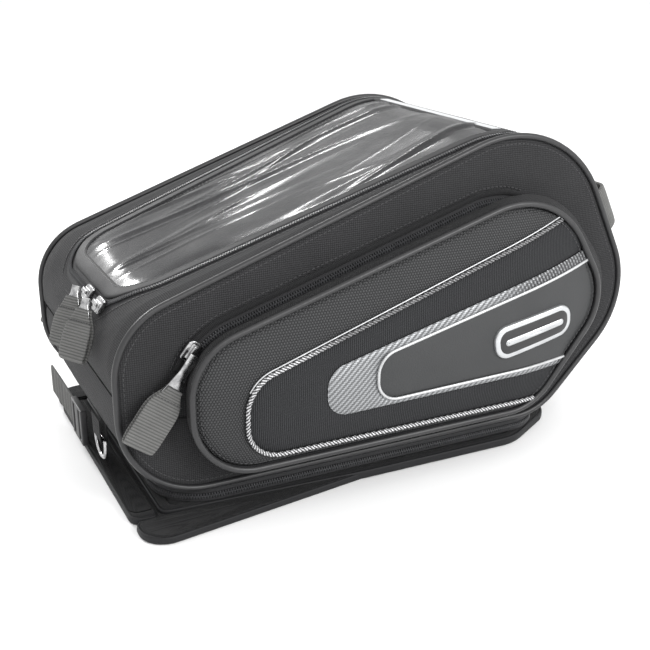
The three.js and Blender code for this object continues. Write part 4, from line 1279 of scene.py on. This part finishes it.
def pocket_zip(name, side):
    """Zip over the pocket's upper edge: tape, a raised outer welt, and two rows of coil."""
    line = evenly(rounded_outline(POCKET_BACK, POCKET_ZIP_REACH), 1.0, closed=True)
    line = between_angles(line, POCKET_ZIP_START, POCKET_ZIP_END, POCKET_ZIP_CENTRE)
    across = np.insert(plane_normals(line), 1, 0.0, axis=1)
    up = np.tile((0.0, side, 0.0), (len(line), 1))
    tuck = np.clip(1 - lengths_along(line) / 40, 0, 1)[:, None] ** 1.5
    line = line - plane_normals(line) * 11 * tuck
    path = np.stack([line[:, 0], np.full(len(line), side * 116.9), line[:, 1]], axis=1)
    tape = swept(f"pocket_tape_{name}", path, across, up, oval(12, 1.2, 6, 24))
    dress(tape, ZIP_TAPE, "zip_coil", "bag", f"pocket_zip_{name}")
    coil = path + up * 1.3
    zip_teeth(f"pocket_coil_upper_{name}", coil, across, up, COIL, "zip_coil", "bag")
    zip_teeth(f"pocket_coil_lower_{name}", coil, -across, up, COIL, "zip_coil", "bag")
    welt = swept(f"pocket_welt_{name}", path + across * 6.6 + up * 0.9, across, up,
                 oval(4.4, 3.4, 2.4, 18))
    dress(welt, FINE_CLOTH, "black_cloth", "bag")
    row = path + across * 10.5
    row[:, 1] = side * (PANEL_FAR + 0.9)
    stitches(f"pocket_zip_stitches_{name}", row, across, up, THREAD, "black_cloth", "bag")


def plate_outline(length, height, corner):
    """A rounded rectangle about the middle."""
    return rounded_outline((
        (-length / 2, -height / 2, corner), (length / 2, -height / 2, corner),
        (length / 2, height / 2, corner), (-length / 2, height / 2, corner),
    ), 0, 14)


def plate_on_face(name, side, length, height, corner, sink, rise, dome, finish, slot, body, *nodes):
    """A rounded plate on the badge's tilted centre line: rings shrink inwards as they rise."""
    rings = []
    for inset, lift in ((0, sink), (0, rise * 0.6), (0.5, rise * 0.9), (1.3, rise),
                        (height * 0.2, rise + dome * 0.6), (height * 0.34, rise + dome * 0.9),
                        (height * 0.46, rise + dome)):
        keep = max(corner - inset, 0.6)
        flat = evenly(plate_outline(length - 2 * inset, height - 2 * inset, keep), 1,
                      closed=True, count=120)
        turned = np.stack([
            flat[:, 0] * math.cos(BADGE_TILT) - flat[:, 1] * math.sin(BADGE_TILT),
            flat[:, 0] * math.sin(BADGE_TILT) + flat[:, 1] * math.cos(BADGE_TILT),
        ], axis=1) + BADGE_CENTRE
        base = face_height(turned)
        rings.append(np.stack([turned[:, 0], side * (base + lift), turned[:, 1]], axis=1))
    dress(skin(name, np.stack(rings)), finish, slot, body, *nodes)


def badge(name, side, body):
    """A plain raised badge: silver rim, dark field and one bare silver bar."""
    plate_on_face(f"badge_rim_{name}", side, BADGE_LENGTH, BADGE_HEIGHT, 11, -1.5, 2.6, 0.0,
                  BADGE, "badge_silver", body, f"pocket_badge_{name}")
    plate_on_face(f"badge_field_{name}", side, BADGE_LENGTH - 6, BADGE_HEIGHT - 6, 8.5, 0, 2.8, 0.5,
                  PLASTIC, "black_plastic", body)
    plate_on_face(f"badge_bar_{name}", side, BADGE_LENGTH - 16, 6, 2.9, 1.0, 3.9, 0.3,
                  BADGE, "badge_silver", body)


# ---------------------------------------------------------------- base
def cushion(name, corners, low, high, edge, seed, finish, body, node, wave=0.0):
    """A quilted pad: rings of its outline run from the middle of its underside, out round a
    rolled edge and in over a top that dips along its two sewn channels."""
    outline = evenly(rounded_outline(corners), 1, closed=True, count=260)
    middle = (outline.max(axis=0) + outline.min(axis=0)) / 2
    reach = np.linalg.norm(middle - outline, axis=1)
    limit = inside_depth(middle[None], outline)[0] * 0.98
    rings = []
    for share in (1.0, 0.8, 0.6, 0.4, 0.2):
        flat = outline + (middle - outline) * share
        rings.append(np.column_stack([flat, np.full(len(flat), max(low, 0.0))]))
    turn = np.linspace(-math.pi / 2, math.pi / 2, 12)
    rolled = edge * (1 - np.cos(turn))
    top = np.concatenate([np.linspace(edge + 1, 30, 18), (40, 60)])
    for inset, angle in zip(np.concatenate([rolled, top]), list(turn) + [None] * len(top)):
        move = min(inset, limit)
        flat = outline + (middle - outline) * (move / np.maximum(reach, move + 1e-6))[:, None]
        if angle is not None:
            z = low + (high - low) * (0.5 + 0.5 * np.sin(angle)) * np.ones(len(flat))
        else:
            channel = sum(deep * np.exp(-((inset - at) / 1.3) ** 2) for at, deep in QUILT_CHANNELS)
            z = high - channel + 0.5 * ripple(flat[:, 0], flat[:, 1], seed, 40)
        if wave:
            z = z + wave * (ripple(flat[:, 0], flat[:, 1], seed + 1, 70) + 0.4)
        rings.append(np.column_stack([flat, np.maximum(z, 0.0)]))
    grid = np.stack(rings)
    piece = skin(name, grid, grid[..., :2])
    dress(piece, finish, "black_cloth", body, node)
    return piece


def edge_tape(name, corners, z, height, body):
    """Binding tape folded over a pad's edge."""
    outline = evenly(rounded_outline(corners), 2.5, closed=True)
    path = np.column_stack([outline, np.full(len(outline), z)])
    across = np.column_stack([plane_normals(outline, True), np.zeros(len(outline))])
    up = np.tile((0.0, 0.0, 1.0), (len(outline), 1))
    section = oval(2.2, height, 3.0, 20)
    dress(swept(name, path, across, up, section, wrap=True), TAPE, "black_cloth", body)


def flip(corners, side):
    """The near side's corners, or their mirror image in anticlockwise order."""
    return corners if side < 0 else tuple((x, -y, r) for x, y, r in reversed(corners))


def base():
    """The pad that lies on the tank, with two side flaps and one at the rider's end."""
    pad = ((-179, -108, 6), (-24, -117, 20), (112, -118, 40), (168, -86, 28),
           (168, 86, 28), (112, 118, 40), (-24, 117, 20), (-179, 108, 6))
    cushion("base_cushion", pad, 0, BASE_TOP, 3.4, 31, FINE_CLOTH, "base", "base_pad")
    edge_tape("base_edge_tape", pad, BASE_TOP / 2, BASE_TOP - 1.5, "base")
    for name, side in SIDES:
        flap = flip(((-199, -143, 18), (-24.3, -116, 2), (-24.3, -112, 2), (-199, -112, 6)), side)
        piece = cushion(f"flap_cushion_{name}", flap, 0, FLAP_TOP, 2.6, 41 + side, FINE_CLOTH,
                        f"flap_{name}", f"side_flap_{name}", wave=1.0)
        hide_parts(f"side_magnet_{name}")
        edge_tape(f"flap_edge_tape_{name}", flap, FLAP_TOP / 2, FLAP_TOP - 0.8, f"flap_{name}")
    rider = ((-200, -108, 8), (-183, -108, 2), (-183, 108, 2), (-200, 108, 8))
    piece = cushion("flap_cushion_rider", rider, 0, FLAP_TOP, 2.6, 47, FINE_CLOTH, "flap_rider",
                    "rider_flap", wave=0.8)
    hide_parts("rider_magnet")
    edge_tape("flap_edge_tape_rider", rider, FLAP_TOP / 2, FLAP_TOP - 0.8, "flap_rider")


def flap_hinges():
    """Flat strips of bare cloth between the pad and each flap."""
    for name, side in SIDES:
        x = np.linspace(-196, -28, 60)
        y = side * np.linspace(103, 117, 12)
        x, y = np.meshgrid(x, y, indexing="ij")
        grid = np.stack([x, y, 4.2 + 0.3 * ripple(x, y, 51, 20)], axis=-1)
        piece = cloth_sheet(f"flap_fold_{name}", grid, 1.4, np.array((0.0, 0.0, -500.0)))
        dress(piece, FINE_CLOTH, "black_cloth", None)
        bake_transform(piece)
    x, y = np.meshgrid(np.linspace(-188, -174, 12), np.linspace(-104, 104, 60), indexing="ij")
    grid = np.stack([x, y, 4.2 + 0.3 * ripple(x, y, 53, 20)], axis=-1)
    piece = cloth_sheet("flap_fold_rider", grid, 1.4, np.array((0.0, 0.0, -500.0)))
    dress(piece, FINE_CLOTH, "black_cloth", None)
    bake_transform(piece)


def under_height(x):
    """Height of the bag's underside above a place on the tank."""
    line = evenly(rounded_outline(BODY_PROFILE), 1.0, closed=True)
    low = line[line[:, 1] < 111]
    order = np.argsort(low[:, 0])
    return np.interp(x, low[order, 0], low[order, 1])


def plan_frame(offset, z):
    """The foot zip's line in plan at a height, with its outward direction and up."""
    outline = evenly(rounded_outline(FOOT_PLAN, offset), 1.5, closed=True)
    path = np.column_stack([outline, np.full(len(outline), z)])
    across = np.column_stack([plane_normals(outline, True), np.zeros(len(outline))])
    return path, across, np.tile((0.0, 0.0, 1.0), (len(outline), 1))


def foot():
    """Gathered cloth between the bag's belly and its zip, and the zip round the base."""
    outline = evenly(rounded_outline(FOOT_PLAN), 1, closed=True, count=420)
    top = under_height(outline[:, 0]) + 1.5
    share = np.linspace(0, 1, 22)[None]
    run = lengths_along(np.vstack([outline, outline[:1]]))[:-1][:, None]
    z = GUSSET_FOOT + (np.maximum(top, GUSSET_FOOT + 4)[:, None] - GUSSET_FOOT) * share
    tall = np.clip((z.max(axis=1, keepdims=True) - GUSSET_FOOT) / 30, 0.15, 1)
    folds = 1.3 * ripple(run * np.ones_like(share), z * 0.2, 61, 24) * np.sin(share * math.pi)
    out = -0.4 + 1.6 * np.sin(share * math.pi) * tall + folds * tall
    normal = plane_normals(outline, closed=True)
    flat = outline[:, None] + normal[:, None] * out[..., None]
    grid = np.concatenate([flat, z[..., None]], axis=-1)
    cloth = np.stack([run * np.ones_like(share), z], axis=-1)
    piece = cloth_sheet("foot_cloth", grid, 1.6, cloth=cloth, wrap_rows=True)
    dress(piece, CLOTH, "black_cloth", "bag", "foot_gusset")
    for name, low, body, node, sign in (("lower", 8.3, "base", "base_zip_lower", -1),
                                        ("upper", 13.2, "bag", "base_zip_upper", 1)):
        path, across, up = plan_frame(-1.5, low + 2.3)
        tape = swept(f"foot_tape_{name}", path, across, up, oval(1.2, 4.4, 5, 16), wrap=True)
        dress(tape, ZIP_TAPE, "zip_coil", body, node)
        path, across, up = plan_frame(0.0, FOOT_COIL_Z)
        zip_teeth(f"foot_coil_{name}", path, up * sign, across, COIL, "zip_coil", body, wrap=True)


# ---------------------------------------------------------------- webbing, pulls and hardware
def ribbed_strap(name, path, up, width, thickness, finish, slot, body, *nodes, rib=1.7, wrap=False):
    """Webbing along a path: a flat rounded section whose faces rise and fall in ribs."""
    width = np.broadcast_to(width, (len(path),))[:, None]
    even = evenly(np.hstack([path, up, width]), 0.42, closed=wrap)
    line, up, width = even[:, :3], unit(even[:, 3:6]), even[:, 6:]
    across = unit(np.cross(tangents(line, wrap), up))
    run = lengths_along(line)[:, None, None]
    flat = oval(1.0, thickness, 5.0, 28)[None]
    swell = 1 + 0.3 * (np.abs(np.sin(run * math.pi / rib)) - 0.6)
    section = np.concatenate([flat[..., :1] * width[:, None], flat[..., 1:] * swell], axis=-1)
    return dress(swept(name, line, across, up, section, wrap=wrap), finish, slot, body, *nodes)


def folded_pull(name, pivot, along, out, start, length, body, node):
    """A webbing loop: down one face from the tab, round the folded end and back up the other."""
    along, out = unit(np.array(along)), unit(np.array(out))
    gap = PULL_THICKNESS / 2 + 0.75
    turn = np.linspace(0, math.pi, 16)
    end = start + length - gap * 1.2
    down = np.linspace(start, end, 20)
    distance = np.concatenate([down, end + 1.2 * gap * np.sin(turn), down[::-1]])
    pinch = 1 - 0.35 * np.exp(-((down - start - 9) / 5) ** 2)
    depth = np.concatenate([gap * pinch, gap * np.cos(turn), -gap * pinch[::-1]])
    path = pivot - distance[:, None] * along + depth[:, None] * out
    bend = tangents(path)
    across = np.cross(along, out)
    up = np.cross(across[None], bend)
    width = PULL_WIDTH * (1 - 0.55 * np.exp(-((distance - start) / 9) ** 2))
    width = width - 2 * np.clip((distance - end + 4) / 6, 0, 1)
    ribbed_strap(name, path, up, width, PULL_THICKNESS * 0.9, WEBBING, "grey_webbing", body, node,
                 rib=2.1)
    for row, sign in (("front", 1), ("back", -1)):
        reach = np.linspace(-PULL_WIDTH / 2 + 2.5, PULL_WIDTH / 2 - 2.5, 10)
        line = pivot - (start + 9) * along + reach[:, None] * across
        line = line + sign * out * (gap * 0.65 + PULL_THICKNESS * 0.45)
        side = np.tile(along, (10, 1))
        stitches(f"{name}_stitches_{row}", line, side, np.tile(sign * out, (10, 1)), THREAD,
                 "grey_webbing", body, pitch=2.6)


def pulls():
    """Chrome sliders and tabs with their webbing, on the lid and on both pockets."""
    turn, tip = LID_PULL_TURN, LID_PULL_TIP
    along = np.array((math.sin(tip) * math.cos(turn), math.sin(tip) * math.sin(turn), math.cos(tip)))
    across = np.array((math.sin(turn), -math.cos(turn), 0))
    for name, y in LID_SLIDERS:
        softened(f"lid_slider_{name}", 0.9, CHROME, "chrome", f"slider_{name}")
        softened(f"lid_tab_{name}", 0.5, CHROME, "chrome", f"pull_{name}")
        pivot = np.array((LID_PIVOT[0], y, LID_PIVOT[1]))
        folded_pull(f"lid_pull_{name}_webbing", pivot, along, np.cross(along, across), *LID_LOOP,
                    f"pull_{name}", f"lid_pull_{name}")
    for name, side in SIDES:
        softened(f"pocket_slider_{name}", 0.9, CHROME, "chrome", f"pocket_slider_body_{name}")
        softened(f"pocket_tab_{name}", 0.5, CHROME, "chrome", f"pocket_pull_body_{name}")
        pivot = np.array(POCKET_PIVOT) * (1, side, 1)
        folded_pull(f"pocket_pull_{name}_webbing", pivot, (0.6, 0, 0.8), (0, side, 0), *POCKET_LOOP,
                    f"pocket_pull_body_{name}", f"pocket_pull_{name}")
    softened("base_zip_slider", 0.8, CHROME, "chrome", "foot_slider")


def handle():
    """Carry handle: flat ends sewn to the front wall and a bowed grip between them."""
    belly, crest = (np.array((x, 0, z)) for x, z, _ in BODY_PROFILE[2:4])
    down = unit(belly - crest)
    out = np.array((-down[2], 0, down[0]))
    middle = crest + down * (HANDLE_DROP + HANDLE_WIDTH / 2) + out * 0.2
    y = np.linspace(-HANDLE_REACH, HANDLE_REACH, 160)
    rise = HANDLE_FOOT + HANDLE_RISE * np.clip((HANDLE_REACH - 1 - np.abs(y)) / HANDLE_KNEE, 0, 1)
    kernel = np.hanning(9) / np.hanning(9).sum()
    rise = np.convolve(np.pad(rise, 4, mode="edge"), kernel, mode="valid")
    path = middle + y[:, None] * (0, 1, 0) + rise[:, None] * out
    up = np.cross(tangents(path), down)
    up = unit(up * np.sign(up @ out)[:, None])
    ribbed_strap("handle_webbing", path, up, HANDLE_WIDTH, HANDLE_THICKNESS, WEBBING,
                 "grey_webbing", "bag", "carry_handle", rib=2.0)


def d_ring():
    """The ring: half an oval of wire under a straight bar."""
    angle = np.linspace(-math.pi / 2, math.pi / 2, 40)
    bow = np.column_stack([RING_HALF * np.sin(angle), -RING_DROP * np.cos(angle) ** 0.75])
    bar = np.column_stack([np.linspace(RING_HALF - 1, 1 - RING_HALF, 20), np.zeros(20)])
    line = evenly(np.vstack([bow, bar]), 0.9, closed=True)
    path = np.column_stack([np.full(len(line), RING_X), RING_Y + line[:, 0], RING_Z + line[:, 1]])
    normal = plane_normals(line, closed=True)
    across = np.column_stack([np.zeros(len(line)), normal])
    up = np.tile((1.0, 0.0, 0.0), (len(line), 1))
    ring = swept("d_ring_wire", path, across, up, oval(RING_WIRE, RING_WIRE, 2.0, 14), wrap=True)
    dress(ring, CHROME, "chrome", "ring", "d_ring")


def rider_foot_hardware():
    """D-ring in its tab, ladder buckle, and the grey strap round the rider's foot."""
    d_ring()
    turn = np.linspace(0, math.pi, 14)
    back, front = RING_X + TAB_LOOP, RING_X - TAB_LOOP
    loop = np.vstack([
        np.column_stack([np.full(8, front), np.linspace(TAB_TOP, RING_Z, 8)]),
        np.column_stack([RING_X - TAB_LOOP * np.cos(turn), RING_Z - TAB_LOOP * np.sin(turn)])[1:-1],
        np.column_stack([np.full(8, back), np.linspace(RING_Z, TAB_TOP, 8)]),
    ])
    path = np.column_stack([loop[:, 0], np.full(len(loop), RING_Y), loop[:, 1]])
    up = np.cross(tangents(path), np.array((0.0, 1.0, 0.0)))
    ribbed_strap("ring_tab", path, up, TAB_WIDTH, THIN_WEB, FINE_CLOTH, "black_cloth", "bag",
                 "strap_tab")
    softened("ladder_buckle", 0.9, PLASTIC, "black_plastic", "bag")
    y = np.linspace(STRAP_START, STRAP_END, 60)
    path = np.column_stack([np.full(60, RING_X), y, np.full(60, STRAP_Z)])
    path[:, 0] += STRAP_BOW * np.sin(np.linspace(0, math.pi, 60)) - STRAP_SINK
    up = np.tile((-1.0, 0.0, 0.0), (60, 1))
    ribbed_strap("foot_strap", path, up, STRAP_WIDTH, STRAP_WEB, WEBBING, "grey_webbing", "bag",
                 "rear_strap")


# ---------------------------------------------------------------- the whole bag
set_studio()
cloth_walls()
cloth_rim()
side_panels()
body_piping()
lid_zip()
lid_binding()
window()
lid_head()
for pocket_name, pocket_side in SIDES:
    pocket_body = f"pocket_{pocket_name}"
    pocket_face(pocket_name, pocket_side, pocket_body)
    pocket_gusset(pocket_name, pocket_side, pocket_body)
    pocket_zip(pocket_name, pocket_side)
    badge(pocket_name, pocket_side, pocket_body)
base()
flap_hinges()
foot()
pulls()
handle()
rider_foot_hardware()
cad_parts["bottom_board"].data.materials.clear()
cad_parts["bottom_board"].data.materials.append(PLASTIC)
